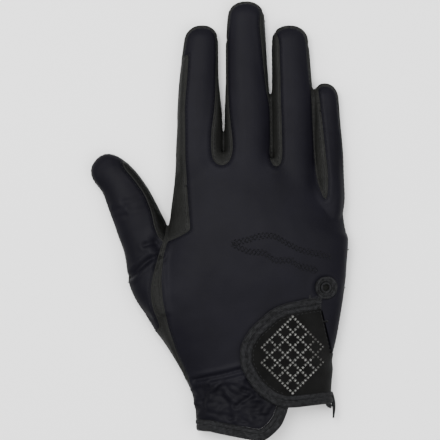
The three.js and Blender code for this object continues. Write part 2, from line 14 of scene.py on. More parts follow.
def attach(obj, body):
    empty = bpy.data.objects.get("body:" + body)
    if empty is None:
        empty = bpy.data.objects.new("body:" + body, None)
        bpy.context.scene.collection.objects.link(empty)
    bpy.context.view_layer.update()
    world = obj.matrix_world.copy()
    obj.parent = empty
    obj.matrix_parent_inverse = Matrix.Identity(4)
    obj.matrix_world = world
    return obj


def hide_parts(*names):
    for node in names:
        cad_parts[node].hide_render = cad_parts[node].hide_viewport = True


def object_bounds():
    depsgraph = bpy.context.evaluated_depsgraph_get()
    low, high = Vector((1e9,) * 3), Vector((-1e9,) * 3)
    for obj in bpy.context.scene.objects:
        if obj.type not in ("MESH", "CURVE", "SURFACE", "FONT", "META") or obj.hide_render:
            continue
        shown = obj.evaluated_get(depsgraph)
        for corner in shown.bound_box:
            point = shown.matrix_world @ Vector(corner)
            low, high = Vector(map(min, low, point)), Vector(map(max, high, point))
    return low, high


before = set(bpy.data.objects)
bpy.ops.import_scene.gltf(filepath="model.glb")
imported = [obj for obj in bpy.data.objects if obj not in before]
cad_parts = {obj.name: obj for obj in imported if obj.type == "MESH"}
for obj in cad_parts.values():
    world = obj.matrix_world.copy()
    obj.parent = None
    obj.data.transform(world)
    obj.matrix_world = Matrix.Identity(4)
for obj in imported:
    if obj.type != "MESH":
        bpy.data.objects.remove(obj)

bl_info = {
    "name": "Horse riding glove",
    "version": (1, 0, 0),
    "blender": (4, 5, 0),
    "location": "View3D > Sidebar > Glove",
    "description": "Dresses the glove: panels, seams, gathers, tapes, strap, stones and stitches",
    "category": "Object",
}

CAD_BOX = [list(corner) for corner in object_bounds()]
MM = 0.001
FAR = 1.0  # past the glove on every side
WIDEST = 0.44  # where a tube is widest, as a share of its height
FINGER_TIP = 8 * MM  # the length of the rounded tip
THUMB_TIP = 12 * MM
STRAP_MESH = 0.75 * MM  # the size of the strap's faces

# Where the middle of the palm and the lowest point of the cuff lie in the frame
MIDDLE_X = 21.84 * MM
CUFF_Y = -119.54 * MM
GLOVE_LENGTH = 239 * MM

# The hand: at and fall are shares of the palm's length, left and right of its width, and high
# and lift of its height.
HandRow = namedtuple("HandRow", "at left right high lift fall")
HAND = [
    HandRow(-0.05, -0.335, 0.41, 0.9, 0.055, 0),
    HandRow(0.03, -0.345, 0.408, 0.86, 0.055, 0),
    HandRow(0.1, -0.36, 0.399, 0.83, 0.03, 0),
    HandRow(0.164, -0.382, 0.388, 0.84, 0, 0),
    HandRow(0.219, -0.421, 0.393, 0.86, 0, 0),
    HandRow(0.275, -0.472, 0.404, 0.88, 0, 0),
    HandRow(0.33, -0.528, 0.425, 0.91, 0, 0),
    HandRow(0.385, -0.59, 0.444, 0.94, 0, 0),
    HandRow(0.468, -0.655, 0.466, 0.97, 0, 0),
    HandRow(0.551, -0.61, 0.483, 1, 0, 0),
    HandRow(0.634, -0.556, 0.494, 1, 0, 0),
    HandRow(0.717, -0.511, 0.5, 0.98, 0, 0.02),
    HandRow(0.8, -0.494, 0.489, 0.92, 0, 0.08),
    HandRow(0.896, -0.475, 0.478, 0.81, 0, 0.14),
    HandRow(0.96, -0.467, 0.473, 0.71, 0.02, 0.18),
    HandRow(1, -0.45, 0.46, 0.55, 0.14, 0.2),
]

# The fingers: length, width and height in metres, base is a share of the palm's length.
Finger = namedtuple("Finger", "length width height base rows")
# Along a finger: at is a share of its length, middle of the palm's width, wide of the finger's
# width and high of its height.
FingerRow = namedtuple("FingerRow", "at middle wide high")
FINGERS = {
    "index": Finger(68.1 * MM, 25.3 * MM, 16 * MM, 1, [
        FingerRow(-0.4, -0.32, 0.8, 1.0),
        FingerRow(-0.15, -0.338, 0.98, 1.08),
        FingerRow(0, -0.336, 1.01, 1.06),
        FingerRow(0.176, -0.3345, 0.972, 1),
        FingerRow(0.304, -0.3357, 0.957, 0.96),
        FingerRow(0.56, -0.3385, 0.849, 0.86),
        FingerRow(0.752, -0.3315, 0.774, 0.79),
        FingerRow(1, -0.32, 0.67, 0.7),
    ]),
    "middle": Finger(81.2 * MM, 25.6 * MM, 16.5 * MM, 1, [
        FingerRow(-0.336, -0.062, 0.9, 1.1),
        FingerRow(0, -0.0629, 0.985, 1.06),
        FingerRow(0.148, -0.0635, 0.972, 1),
        FingerRow(0.309, -0.0646, 0.955, 0.95),
        FingerRow(0.47, -0.0674, 0.894, 0.88),
        FingerRow(0.685, -0.073, 0.851, 0.8),
        FingerRow(0.846, -0.073, 0.8, 0.74),
        FingerRow(1, -0.073, 0.71, 0.68),
    ]),
    "ring": Finger(68.1 * MM, 22.3 * MM, 15.5 * MM, 1, [
        FingerRow(-0.4, 0.2037, 1.08, 1.24),
        FingerRow(0, 0.1907, 0.998, 1.06),
        FingerRow(0.432, 0.1876, 0.982, 0.95),
        FingerRow(0.688, 0.181, 0.935, 0.85),
        FingerRow(0.816, 0.177, 0.905, 0.78),
        FingerRow(1, 0.172, 0.82, 0.7),
    ]),
    "little": Finger(51.8 * MM, 16.1 * MM, 14 * MM, 0.903, [
        FingerRow(-0.547, 0.385, 0.8, 1.1),
        FingerRow(-0.25, 0.399, 0.98, 1.22),
        FingerRow(0, 0.395, 0.99, 1.16),
        FingerRow(0.274, 0.3918, 0.965, 1.04),
        FingerRow(0.611, 0.3825, 0.885, 0.93),
        FingerRow(0.863, 0.376, 0.84, 0.84),
        FingerRow(1, 0.37, 0.8, 0.78),
    ]),
}

# The thumb: its root is placed in shares of the palm, and its path from there in shares of the
# thumb's length.
THUMB_ROOT = (-0.567, 0.558)
THUMB_PATH = [
    (0.089, -0.252), (0, 0), (-0.074, 0.23), (-0.114, 0.348), (-0.221, 0.592), (-0.312, 0.738),
    (-0.47, 0.868),
]
ThumbRow = namedtuple("ThumbRow", "at wide high")
THUMB = [
    ThumbRow(0, 0.9, 1.2),
    ThumbRow(0.1, 1.16, 1.2),
    ThumbRow(0.21, 1.26, 1.16),
    ThumbRow(0.3, 1.17, 1.1),
    ThumbRow(0.4, 1.06, 1.04),
    ThumbRow(0.5, 1.065, 1.01),
    ThumbRow(0.6, 1.02, 1),
    ThumbRow(0.7, 0.97, 0.95),
    ThumbRow(0.8, 0.871, 0.87),
    ThumbRow(0.9, 0.79, 0.78),
    ThumbRow(1, 0.81, 0.7),
]

# Plan outlines: x is a share of the palm's width, y of its length.
STRIP_SEAM = [
    (-0.52, 1.29), (-0.4, 1.328), (-0.404, 1.266), (-0.419, 1.155), (-0.416, 0.969),
    (-0.404, 0.843), (-0.388, 0.724), (-0.45, 0.702), (-0.517, 0.684), (-0.538, 0.632),
    (-0.55, 0.562), (-0.541, 0.482), (-0.51, 0.39), (-0.462, 0.298), (-0.392, 0.202),
    (-0.48, 0.164),
]
INDEX_MIDDLE = [
    (-0.232, 1.4), (-0.237, 1.311), (-0.241, 1.2), (-0.248, 1.13), (-0.263, 1.06), (-0.264, 1.0),
    (-0.25, 0.962), (-0.208, 0.948), (-0.17, 0.962), (-0.152, 1.0), (-0.156, 1.05), (-0.17, 1.12),
    (-0.177, 1.2), (-0.179, 1.3), (-0.182, 1.37), (-0.195, 1.44), (-0.222, 1.44),
]
MIDDLE_RING = [
    (0.008, 1.45), (0.026, 1.311), (0.047, 1.2), (0.063, 1.14), (0.066, 1.04), (0.065, 0.97),
    (0.094, 0.943), (0.122, 0.965), (0.124, 1.035), (0.118, 1.173), (0.112, 1.311), (0.106, 1.38),
    (0.07, 1.43), (0.04, 1.48),
]
RING_LITTLE = [
    (0.274, 1.35), (0.296, 1.2), (0.307, 1.06), (0.315, 0.96), (0.33, 0.89), (0.369, 0.83),
    (0.381, 0.875), (0.379, 0.93), (0.368, 0.99), (0.342, 1.138), (0.33, 1.2), (0.31, 1.35),
]
THUMB_TOP_SEAM = [
    (-0.534, 0.682), (-0.552, 0.65), (-0.582, 0.586), (-0.603, 0.52), (-0.592, 0.459),
    (-0.556, 0.385), (-0.66, 0.37),
]
THUMB_SIDE_SEAM = [
    (-0.66, 1.04), (-0.72, 0.98), (-0.762, 0.951), (-0.685, 0.889), (-0.635, 0.841),
    (-0.601, 0.789), (-0.584, 0.741), (-0.57, 0.712), (-0.534, 0.682),
]
THUMB_UNDER_SEAM = [(-0.516, 0.735), (-0.545, 0.655), (-0.63, 0.59), (-0.8, 0.56)]
THUMB_UNDER_END = (-0.61, 1.02)
THUMB_STRIP_EDGE = [(-0.516, 0.735), (-0.61, 1.04)]
CUFF_EDGE = [
    (-0.6, 0.033), (-0.3, 0.031), (-0.258, 0.028), (-0.055, 0.005), (0, 0.001), (0.035, 0.005),
    (0.081, 0.026), (0.124, 0.055), (0.149, 0.088), (0.166, 0.12), (0.235, 0.28), (0.26, 0.34),
]
PALM_EDGE = [(-0.6, 0.03), (-0.3, 0.03), (-0.05, 0.05), (0.16, 0.13), (0.42, 0.136), (0.6, 0.136)]
KEYHOLE = (0.371, 0.527)
STRAP_OUTLINE = [
    (0.331, 0.492), (0.233, 0.484), (0.135, 0.47), (0.063, 0.45), (0.006, 0.42), (-0.045, 0.39),
    (-0.084, 0.355), (-0.107, 0.315), (-0.103, 0.26), (-0.078, 0.225), (-0.045, 0.191),
    (-0.006, 0.164), (0.034, 0.144), (0.08, 0.127), (0.13, 0.118), (0.2, 0.116), (0.393, 0.127),
    (0.56, 0.127), (0.56, 0.492),
]
TAPE_END = [(0.398, 0.165), (0.413, 0.14), (0.421, 0.112), (0.418, 0.074)]
STRAP_ROOT = [(0.356, 0.51), (0.351, 0.451), (0.413, 0.297), (0.6, 0.28)]
STITCHED_POINTS = 15  # the strap's stitches follow so many points of its outline
TRELLIS_MIDDLE = (0.185, 0.297)
TRELLIS_HALF = (14.5 * MM, 17 * MM)

# Heights of the side seam at the cuff and the tips, of the thumb's seam between two places along
# the palm, and of the fourchettes' lower edges
SIDE_SEAM_HEIGHTS = (9.5 * MM, 8 * MM)
THUMB_SEAM_ENDS = [(0, 0.56), (0, 0.97)]
THUMB_SEAM_HEIGHTS = (10.5 * MM, 6.2 * MM)
FOURCHETTE_FOOT = 4 * MM
# Where the painted shade over the gathered wrist fades out, along the frame's y
GATHERS_SHADE_FADE = (-91 * MM, -84 * MM)

# Creases: plan points in the same shares, depth and width in metres
Crease = namedtuple("Crease", "line deep wide")
CREASES = [
    Crease([(-0.753, 0.82), (-0.71, 0.823), (-0.663, 0.838)], 0.4 * MM, 1.5 * MM),
    Crease([(-0.71, 0.801), (-0.68, 0.806), (-0.635, 0.82)], 0.35 * MM, 1.3 * MM),
    Crease([(-0.64, 0.672), (-0.573, 0.682)], 0.8 * MM, 1.2 * MM),
    Crease([(-0.545, 0.637), (-0.618, 0.62), (-0.704, 0.572), (-0.725, 0.561)], 1.3 * MM, 1.3 * MM),
    Crease([(-0.562, 0.634), (-0.581, 0.592)], 0.6 * MM, 1.0 * MM),
    Crease([(-0.809, 0.793), (-0.775, 0.797)], 0.4 * MM, 1.2 * MM),
    Crease([(-0.798, 0.769), (-0.75, 0.774)], 0.35 * MM, 1.2 * MM),
    Crease([(-0.575, 0.69), (-0.56, 0.66)], 1.4 * MM, 2.2 * MM),
    Crease([(-0.36, 0.208), (-0.331, 0.212), (-0.219, 0.226), (-0.107, 0.244)], 1.3 * MM, 1.2 * MM),
    Crease([(-0.27, 0.2), (-0.18, 0.213), (-0.096, 0.226)], 0.9 * MM, 1.0 * MM),
    Crease([(-0.13, 0.12), (-0.039, 0.157)], 0.9 * MM, 1.1 * MM),
]

# Zigzag rows of stitches over the back of the hand
ZIGZAG_ROWS = [
    [(-0.157, 0.677), (-0.073, 0.689), (0.0, 0.703), (0.079, 0.703), (0.163, 0.675),
     (0.236, 0.655), (0.309, 0.644), (0.404, 0.63)],
    [(-0.157, 0.677), (-0.062, 0.651), (0.028, 0.644), (0.09, 0.62), (0.174, 0.62),
     (0.213, 0.603), (0.281, 0.592), (0.331, 0.585)],
]

REGIONS = [
    "cut", "cuff_tape", "fourchette_index_middle", "fourchette_middle_ring", "fourchette_ring_little",
    "thumb_back", "thumb_front", "back_panel", "palm_panel",
]
FOURCHETTES = [name for name in REGIONS if name.startswith("fourchette")]

# The stage: places in metres, power in watts
Light = namedtuple("Light", "name place size power")
LIGHTS = [
    Light("key_light", (-0.28, 0.35, 1.3), 0.7, 25),
    Light("side_light", (-0.9, 0.3, 0.8), 0.7, 4),
    Light("fill_light", (0.6, -0.3, 1.2), 0.9, 10),
]
CAMERA_PLACE = (0.59 * MM, 0.1 * MM, 1.5068)


def measure(name, description, value):
    return FloatProperty(name=name, description=description, default=value, unit="LENGTH")


class GloveSizes(bpy.types.PropertyGroup):
    palm_width: measure("Palm width", "Across the knuckles", 97 * MM)
    palm_length: measure("Palm length", "From the cuff to the roots of the fingers", 157.8 * MM)
    palm_height: measure("Palm height", "Height of the empty glove at the knuckles", 24 * MM)
    thumb_length: measure("Thumb length", "Length of the thumb", 73.6 * MM)
    thumb_width: measure("Thumb width", "Width of the thumb", 25.1 * MM)
    thumb_height: measure("Thumb height", "Height of the thumb", 17 * MM)
    wall: measure("Wall", "Thickness of the fabric and leather", 1.2 * MM)
    tape_width: measure("Tape width", "Width of the bound edges", 6.5 * MM)
    keyhole_radius: measure("Keyhole radius", "Radius of the slit's round end", 2.6 * MM)
    strap_height: measure("Strap height", "Height of the strap's face above the glove", 3.2 * MM)
    strap_thickness: measure("Strap thickness", "Thickness of the strap", 1.6 * MM)
    stone_width: measure("Stone width", "Width of a stone", 1.5 * MM)
    stone_pitch: measure("Stone pitch", "Distance between stones", 1.95 * MM)
    stones_per_cell: IntProperty(
        name="Stones per cell", description="Stones along a side of a trellis cell", default=3, min=2
    )
    stitch_length: measure("Stitch length", "Length of a stitch", 1.9 * MM)
    thread_width: measure("Thread width", "Width of the thread", 0.4 * MM)
    voxel: measure("Mesh size", "Size of the skin's faces", 0.8 * MM)


def colour(name, description, value):
    return FloatVectorProperty(
        name=name, description=description, default=value, size=4, subtype="COLOR", min=0, max=1
    )


class GloveColours(bpy.types.PropertyGroup):
    fabric: colour("Fabric", "Stretch fabric of the back", (0.0047, 0.0044, 0.0066, 1))
    leather: colour("Leather", "Leather of the palm and sides", (0.0074, 0.0075, 0.007, 1))
    suede: colour("Suede", "Face of the strap", (0.0024, 0.0024, 0.0023, 1))
    tape: colour("Tape", "Bound edges", (0.0092, 0.0093, 0.01, 1))
    thread: colour("Thread", "Stitches in the tapes", (0.012, 0.012, 0.013, 1))
    dark_thread: colour("Dark thread", "Stitches of the back and seams", (0.004, 0.004, 0.005, 1))
    stones: colour("Stones", "Stones on the strap", (0.058, 0.058, 0.054, 1))
    floor: colour("Floor", "Floor under the glove", (0.93, 0.93, 0.93, 1))


def sizes():
    return bpy.context.scene.glove_sizes


def colours():
    return bpy.context.scene.glove_colours


# Curves and distances in plan


def plan(points):
    """Plan points given in shares of the palm, in the frame."""
    own = sizes()
    return np.array(points, float) * (own.palm_width, own.palm_length) + (MIDDLE_X, CUFF_Y)


def smooth_line(points, steps=8, closed=False):
    """A smooth line through points."""
    points = np.asarray(points, float)
    count = len(points)
    line = []
    for i in range(count if closed else count - 1):
        around = np.arange(i - 1, i + 3)
        a, b, c, d = points[around % count if closed else np.clip(around, 0, count - 1)]
        bend, twist = 2 * a - 5 * b + 4 * c - d, 3 * b - a - 3 * c + d
        for t in np.arange(steps) / steps:
            line.append(0.5 * (2 * b + (c - a) * t + bend * t**2 + twist * t**3))
    if not closed:
        line.append(points[-1])
    return np.array(line)


def curve(points, steps=6, closed=False):
    """A smooth line through plan points given in shares of the palm."""
    return smooth_line(plan(points), steps, closed)


def run_along(line):
    """The length of a line from its start to each of its points."""
    return np.concatenate([[0], np.cumsum(np.linalg.norm(np.diff(line, axis=0), axis=1))])


def at_lengths(values, run, at):
    """Values given at each point of a line, read at lengths from the line's start."""
    return np.stack([np.interp(at, run, column) for column in values.T], axis=1)


def unit(vectors):
    """Vectors of length 1 that point the same way."""
    return vectors / np.maximum(np.linalg.norm(vectors, axis=-1, keepdims=True), 1e-12)


def from_line(spots, line):
    """Distance of each spot from an open line, and the length of the line up to its nearest place."""
    best = np.full(len(spots), np.inf)
    along = np.zeros(len(spots))
    run = 0.0
    for a, b in zip(line[:-1], line[1:]):
        step = b - a
        length = np.linalg.norm(step)
        t = np.clip(((spots - a) @ step) / (length**2 + 1e-18), 0, 1)
        away = np.linalg.norm(spots - (a + t[:, None] * step), axis=1)
        nearer = away < best
        best[nearer] = away[nearer]
        along[nearer] = run + t[nearer] * length
        run += length
    return best, along


def inside(spots, outline):
    """Distance of each spot from a closed outline, positive inside it."""
    away, _ = from_line(spots, np.vstack([outline, outline[:1]]))
    within = np.zeros(len(spots), bool)
    for a, b in zip(outline, np.roll(outline, -1, axis=0)):
        crosses = (a[1] > spots[:, 1]) != (b[1] > spots[:, 1])
        rise = b[1] - a[1]
        at = a[0] + (spots[:, 1] - a[1]) * (b[0] - a[0]) / (rise if rise else 1e-12)
        within ^= crosses & (spots[:, 0] < at)
    return np.where(within, away, -away)


def read(rows, at):
    """The columns of a table at a place between its rows, each along a smooth curve."""
    table = np.array(rows, float)
    places = table[:, 0]
    last = len(rows) - 1
    number = np.arange(len(rows))
    before, after = np.maximum(number - 1, 0), np.minimum(number + 1, last)
    slopes = (table[after] - table[before]) / (places[after] - places[before])[:, None]
    at = np.asarray(at, float)
    i = np.clip(np.searchsorted(places, at) - 1, 0, last - 1)
    span = (places[i + 1] - places[i])[..., None]
    t = np.clip((at[..., None] - places[i][..., None]) / span, 0, 1)
    rise = table[i + 1] - table[i]
    m0, m1 = slopes[i] * span, slopes[i + 1] * span
    values = table[i] + m0 * t + (3 * rise - 2 * m0 - m1) * t**2 + (m0 + m1 - 2 * rise) * t**3
    return type(rows[0])(*np.moveaxis(values, -1, 0))


def ramp(values, start, end):
    """0 before start, 1 past end and smooth between them."""
    t = np.clip((values - start) / (end - start), 0, 1)
    return t * t * (3 - 2 * t)


# The skin: closed tubes for the hand, the fingers and the thumb, joined into one


def oval(half, low, high, widest, sides):
    """A section across a tube: a squashed oval with a flat foot."""
    turn = 2 * math.pi * (np.arange(sides) + 0.5) / sides
    c, s = np.cos(turn), np.sin(turn)
    across = half * np.sign(c) * np.abs(c) ** 0.8
    over = (high - widest) * np.abs(s) ** (2 / 2.3)
    under = -(widest - low) * 1.15 * np.abs(s) ** 0.8
    up = widest + np.where(s > 0, over, under)
    return across, np.maximum(up, max(low, 0))


def hand_rings(grow=0.0, start=-0.05, end=1.0, sides=96, pitch=0.012):
    """Sections from the wrist to the roots of the fingers, or of a layer over them."""
    own = sizes()
    rings = []
    for at in np.arange(start, end + pitch / 2, pitch):
        at = min(at, 1.0)
        row = read(HAND, at)
        half = (row.right - row.left) / 2 * own.palm_width + grow
        high = row.high * own.palm_height
        low = row.lift * own.palm_height - grow
        across, up = oval(half, low, high + grow, WIDEST * high, sides)
        x = (row.left + row.right) / 2 * own.palm_width + across
        fall = row.fall * np.maximum(0, x / (0.46 * own.palm_width)) ** 1.5
        y = (at - fall) * own.palm_length
        rings.append(np.stack([x + MIDDLE_X, y + CUFF_Y, up], axis=1))
    return rings


def tip_places(start, length, tip, pitch=2 * MM):
    """Places along a tube, closer together over its tip, each with what is left of its width."""
    share = tip / length
    body = np.arange(start, 1 - share, pitch / length)
    rounding = np.sin(np.linspace(0, math.pi / 2, 12)[:-1])
    tips = [(1 - share * (1 - turned), (1 - turned**2.2) ** (1 / 2.2)) for turned in rounding]
    return [(at, 1.0) for at in body] + tips


def tip_section(half, high, closing, sides):
    """A section across a finger or the thumb, whose tip has closed to a share of its size."""
    widest = WIDEST * high
    low, top = widest * (1 - closing), widest + (high - widest) * closing
    return oval(half * closing, low, top, widest, sides)


def finger_rings(finger, sides=48):
    own = sizes()
    rings = []
    for at, closing in tip_places(finger.rows[0].at, finger.length, FINGER_TIP):
        row = read(finger.rows, at)
        half, high = row.wide * finger.width / 2, row.high * finger.height
        across, up = tip_section(half, high, closing, sides)
        x = row.middle * own.palm_width + across + MIDDLE_X
        y = np.full(sides, finger.base * own.palm_length + at * finger.length + CUFF_Y)
        rings.append(np.stack([x, y, up], axis=1))
    return rings


def thumb_line():
    root = plan([THUMB_ROOT])[0]
    return smooth_line(root + np.array(THUMB_PATH) * sizes().thumb_length, 12)


def thumb_rings(sides=52):
    own = sizes()
    line = thumb_line()
    run = run_along(line)
    rings = []
    for at, closing in tip_places(0, run[-1], THUMB_TIP):
        row = read(THUMB, at)
        half, high = row.wide * own.thumb_width / 2, row.high * own.thumb_height
        across, up = tip_section(half, high, closing, sides)
        near = np.array([at, min(at + 0.02, 1), max(at - 0.02, 0)])
        spot, ahead, behind = at_lengths(line, run, near * run[-1])
        along = unit(ahead - behind)
        x, y = spot[0] + across * along[1], spot[1] - across * along[0]
        rings.append(np.stack([x, y, up], axis=1))
    return rings


def loft(bm, rings):
    """A closed tube through rings of equally many points."""
    before = None
    for number, ring in enumerate(rings):
        capped = number in (0, len(rings) - 1)
        made = bmesh.ops.create_circle(bm, cap_ends=capped, segments=len(ring), radius=0.01)
        verts = made["verts"]
        for vert, place in zip(verts, ring):
            vert.co = place
        edges = list({edge for vert in verts for edge in vert.link_edges})
        if before:
            bmesh.ops.bridge_loops(bm, edges=before + edges)
        before = edges


def relax(bm, verts, rounds=1):
    """Moves vertices towards the middle of their neighbours, halfway in each round."""
    for _ in range(rounds):
        bmesh.ops.smooth_vert(
            bm, verts=verts, factor=0.5, use_axis_x=True, use_axis_y=True, use_axis_z=True
        )
    bm.normal_update()


def joined(tubes, voxel):
    """Closed tubes joined into one closed skin of even square faces."""
    bm = bmesh.new()
    for rings in tubes:
        loft(bm, rings)
    bmesh.ops.recalc_face_normals(bm, faces=bm.faces)
    whole = shown("joined_tubes", bm)
    remesh = whole.modifiers.new("Even faces", "REMESH")
    remesh.mode = "VOXEL"
    remesh.voxel_size = voxel
    settle(whole)
    bm = bmesh.new()
    bm.from_mesh(whole.data)
    bpy.data.objects.remove(whole)
    relax(bm, bm.verts, 3)
    return bm


def soften_knuckles(bm):
    """Smooths the back of the hand where the fingers grow out of it."""
    start, end = plan([(0, 0.8), (0, 1.07)])[:, 1]
    relax(bm, [vert for vert in bm.verts if start < vert.co.y < end and vert.co.z > 11 * MM], 45)


# Objects


def shown(name, bm):
    """A mesh object made of a bmesh."""
    mesh = bpy.data.meshes.new(name)
    bm.to_mesh(mesh)
    bm.free()
    made = bpy.data.objects.new(name, mesh)
    bpy.context.collection.objects.link(made)
    return made


def settle(made, sharp=math.radians(55)):
    """Puts the result of an object's modifiers into its mesh, smooth but for its corners."""
    depsgraph = bpy.context.evaluated_depsgraph_get()
    mesh = bpy.data.meshes.new_from_object(made.evaluated_get(depsgraph))
    old = made.data
    made.modifiers.clear()
    made.data = mesh
    bpy.data.meshes.remove(old)
    mesh.name = made.name
    mesh.shade_smooth()
    mesh.set_sharp_from_angle(angle=sharp)


def walled(made, thickness):
    """Gives a surface its thickness, inwards from where it is."""
    wall = made.modifiers.new("Wall", "SOLIDIFY")
    wall.thickness = thickness
    wall.offset = -1
    settle(made)
    return made


def placed(made, material, slot, *nodes):
    """A finished piece with its material, on the glove's only body, in place of CAD nodes."""
    made.data.materials.clear()
    made.data.materials.append(material)
    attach(made, "root")
    if nodes:
        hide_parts(*nodes)
    return made


def write_attribute(made, name, values):
    """A value on each vertex, for materials to read."""
    layer = made.data.attributes.new(name, "FLOAT", "POINT")
    layer.data.foreach_set("value", np.asarray(values, np.float32))


def write_layer(bm, name, values):
    """The same on a mesh that is still being made."""
    layer = bm.verts.layers.float.new(name)
    for vert, value in zip(bm.verts, values):
        vert[layer] = float(value)


def places_of(elements):
    return np.array([vert.co for vert in elements])


# Regions of the skin: each is a field that is positive inside it


def seam_height(y):
    """Height of the seam between the back and the palm, from the cuff to the fingertips."""
    return np.interp(y, (CUFF_Y, CUFF_Y + GLOVE_LENGTH), SIDE_SEAM_HEIGHTS)


def edge_lines():
    """The wrist's edge on the back and on the palm."""
    return curve(CUFF_EDGE), curve(PALM_EDGE)


def past(line, last):
    """The outline of what lies on the wrist's side of a line."""
    return np.vstack([line, last, [(FAR, -FAR), (-FAR, -FAR)]])


def glove_regions(points):
    """How far each point lies inside each of the regions, in their order."""
    own = sizes()
    spots, y, z = points[:, :2], points[:, 1], points[:, 2]
    over = z - seam_height(y)
    cuff, palm = edge_lines()
    from_keyhole = np.linalg.norm(spots - plan([KEYHOLE]), axis=1)
    past_cuff = np.minimum(inside(spots, past(cuff, plan(STRAP_ROOT[1:]))), over)
    past_palm = np.minimum(inside(spots, past(palm, np.empty((0, 2)))), -over)
    bore = np.minimum(own.keyhole_radius - from_keyhole, over)
    tape_over = np.minimum(own.tape_width - from_line(spots, cuff)[0], over)
    tape_under = np.minimum(own.tape_width - from_line(spots, palm)[0], -over)
    ring = np.minimum(own.keyhole_radius + own.tape_width / 2 - from_keyhole, over)
    fourchettes = [
        np.minimum(inside(spots, curve(outline, 5, closed=True)), z - FOURCHETTE_FOOT)
        for outline in (INDEX_MIDDLE, MIDDLE_RING, RING_LITTLE)
    ]
    top_seam, side_seam = curve(THUMB_TOP_SEAM), curve(THUMB_SIDE_SEAM)
    under_seam = curve(THUMB_UNDER_SEAM)
    over_thumb = z - np.interp(y, plan(THUMB_SEAM_ENDS)[:, 1], THUMB_SEAM_HEIGHTS)
    left = [(-FAR, top_seam[-1][1]), (-FAR, FAR)]
    thumb_top = np.minimum(inside(spots, np.vstack([side_seam, top_seam[1:], left])), over_thumb)
    left = [(-FAR, under_seam[-1][1]), (-FAR, FAR)]
    under = inside(spots, np.vstack([under_seam, left, plan([THUMB_UNDER_END])]))
    strip = inside(spots, np.vstack([side_seam, plan(THUMB_STRIP_EDGE)]))
    thumb_under = np.maximum(np.minimum(under, -over_thumb), strip)
    strip_seam = plan(STRIP_SEAM)
    right = [(strip_seam[-1][0] - 30 * MM, -FAR), (FAR, -FAR), (FAR, FAR), (strip_seam[0][0], FAR)]
    back = np.minimum(inside(spots, np.vstack([strip_seam, right])), over)
    cut = np.maximum.reduce([past_cuff, past_palm, bore])
    tape = np.maximum.reduce([tape_over, tape_under, ring])
    rest = np.full(len(points), FAR)
    return np.stack([cut, tape, *fourchettes, thumb_top, thumb_under, back, rest])


def sort_faces(bm, regions, reach):
    """Gives each face the first region it lies in, and straightens the borders between regions."""
    layer = bm.faces.layers.int.new("region")
    centres = np.array([face.calc_center_median() for face in bm.faces])
    for face, region in zip(bm.faces, np.argmax(regions(centres) > 0, axis=0)):
        face[layer] = int(region)
    surface = BVHTree.FromBMesh(bm)
    border, owners = [], []
    for vert in bm.verts:
        found = sorted({face[layer] for face in vert.link_faces})
        if len(found) > 1:
            border.append(vert)
            owners.append((found[0], found[1] if len(found) > 2 else found[0]))
    places, normals = places_of(border), np.array([vert.normal for vert in border])
    owners = np.array(owners)
    pick = np.arange(len(border))
    step = 0.1 * MM
    for turn in range(6):
        own = owners[:, turn % 2]
        value = regions(places)[own, pick]
        slope = np.stack([
            (regions(places + axis)[own, pick] - regions(places - axis)[own, pick]) / (2 * step)
            for axis in np.eye(3) * step
        ], axis=1)
        slope -= (slope * normals).sum(axis=1)[:, None] * normals
        move = -value[:, None] * slope / np.maximum((slope**2).sum(axis=1), 0.1)[:, None]
        far = np.linalg.norm(move, axis=1)
        places += move * np.minimum(1, reach / np.maximum(far, 1e-9))[:, None]
    for vert, place in zip(border, places):
        vert.co = surface.find_nearest(Vector(place))[0]
    near = {edge.other_vert(vert) for vert in border for edge in vert.link_edges} - set(border)
    relax(bm, list(near), 2)
    return layer


def part_of(bm, layer, region):
    """A copy of the faces of one region."""
    part = bm.copy()
    own = part.faces.layers.int["region"]
    others = [face for face in part.faces if face[own] != region]
    bmesh.ops.delete(part, geom=others, context="FACES")
    return part


def chains(edges):
    """Runs of edges from one end or crossing to the next, as lists of vertices."""
    links = defaultdict(list)
    for edge in edges:
        for vert in edge.verts:
            links[vert].append(edge)
    seen = set()

    def walk(vert, edge):
        run = [vert]
        while edge not in seen:
            seen.add(edge)
            vert = edge.other_vert(vert)
            run.append(vert)
            if len(links[vert]) != 2:
                break
            edge = next((other for other in links[vert] if other not in seen), edge)
        return run

    starts = [vert for vert in links if len(links[vert]) != 2]
    runs = [walk(vert, edge) for vert in starts for edge in links[vert] if edge not in seen]
    runs += [walk(edge.verts[0], edge) for edge in edges if edge not in seen]
    return [run for run in runs if len(run) > 3]


def even_line(points, normals, pitch, rounds=6):
    """A smoothed line through points at an even pitch, with the normals along it."""
    points, normals = np.array(points), np.array(normals)
    closed = np.linalg.norm(points[0] - points[-1]) < 1e-9
    for _ in range(rounds):
        if closed:
            ring = points[:-1]
            ring = (np.roll(ring, 1, axis=0) + 2 * ring + np.roll(ring, -1, axis=0)) / 4
            points = np.vstack([ring, ring[:1]])
        else:
            points[1:-1] = (points[:-2] + 2 * points[1:-1] + points[2:]) / 4
        normals[1:-1] = (normals[:-2] + 2 * normals[1:-1] + normals[2:]) / 4
    run = run_along(points)
    at = np.linspace(0, run[-1], max(int(run[-1] / pitch) + 1, 2))
    return at_lengths(points, run, at), unit(at_lengths(normals, run, at))


# The skin's relief: seams drawn in, creases, gathers at the wrist and the slack of the fabric


def wave(place, scale, seed=0.0):
    return noise.noise(Vector(place) / scale + Vector((seed, seed * 1.7, seed * 0.6)))


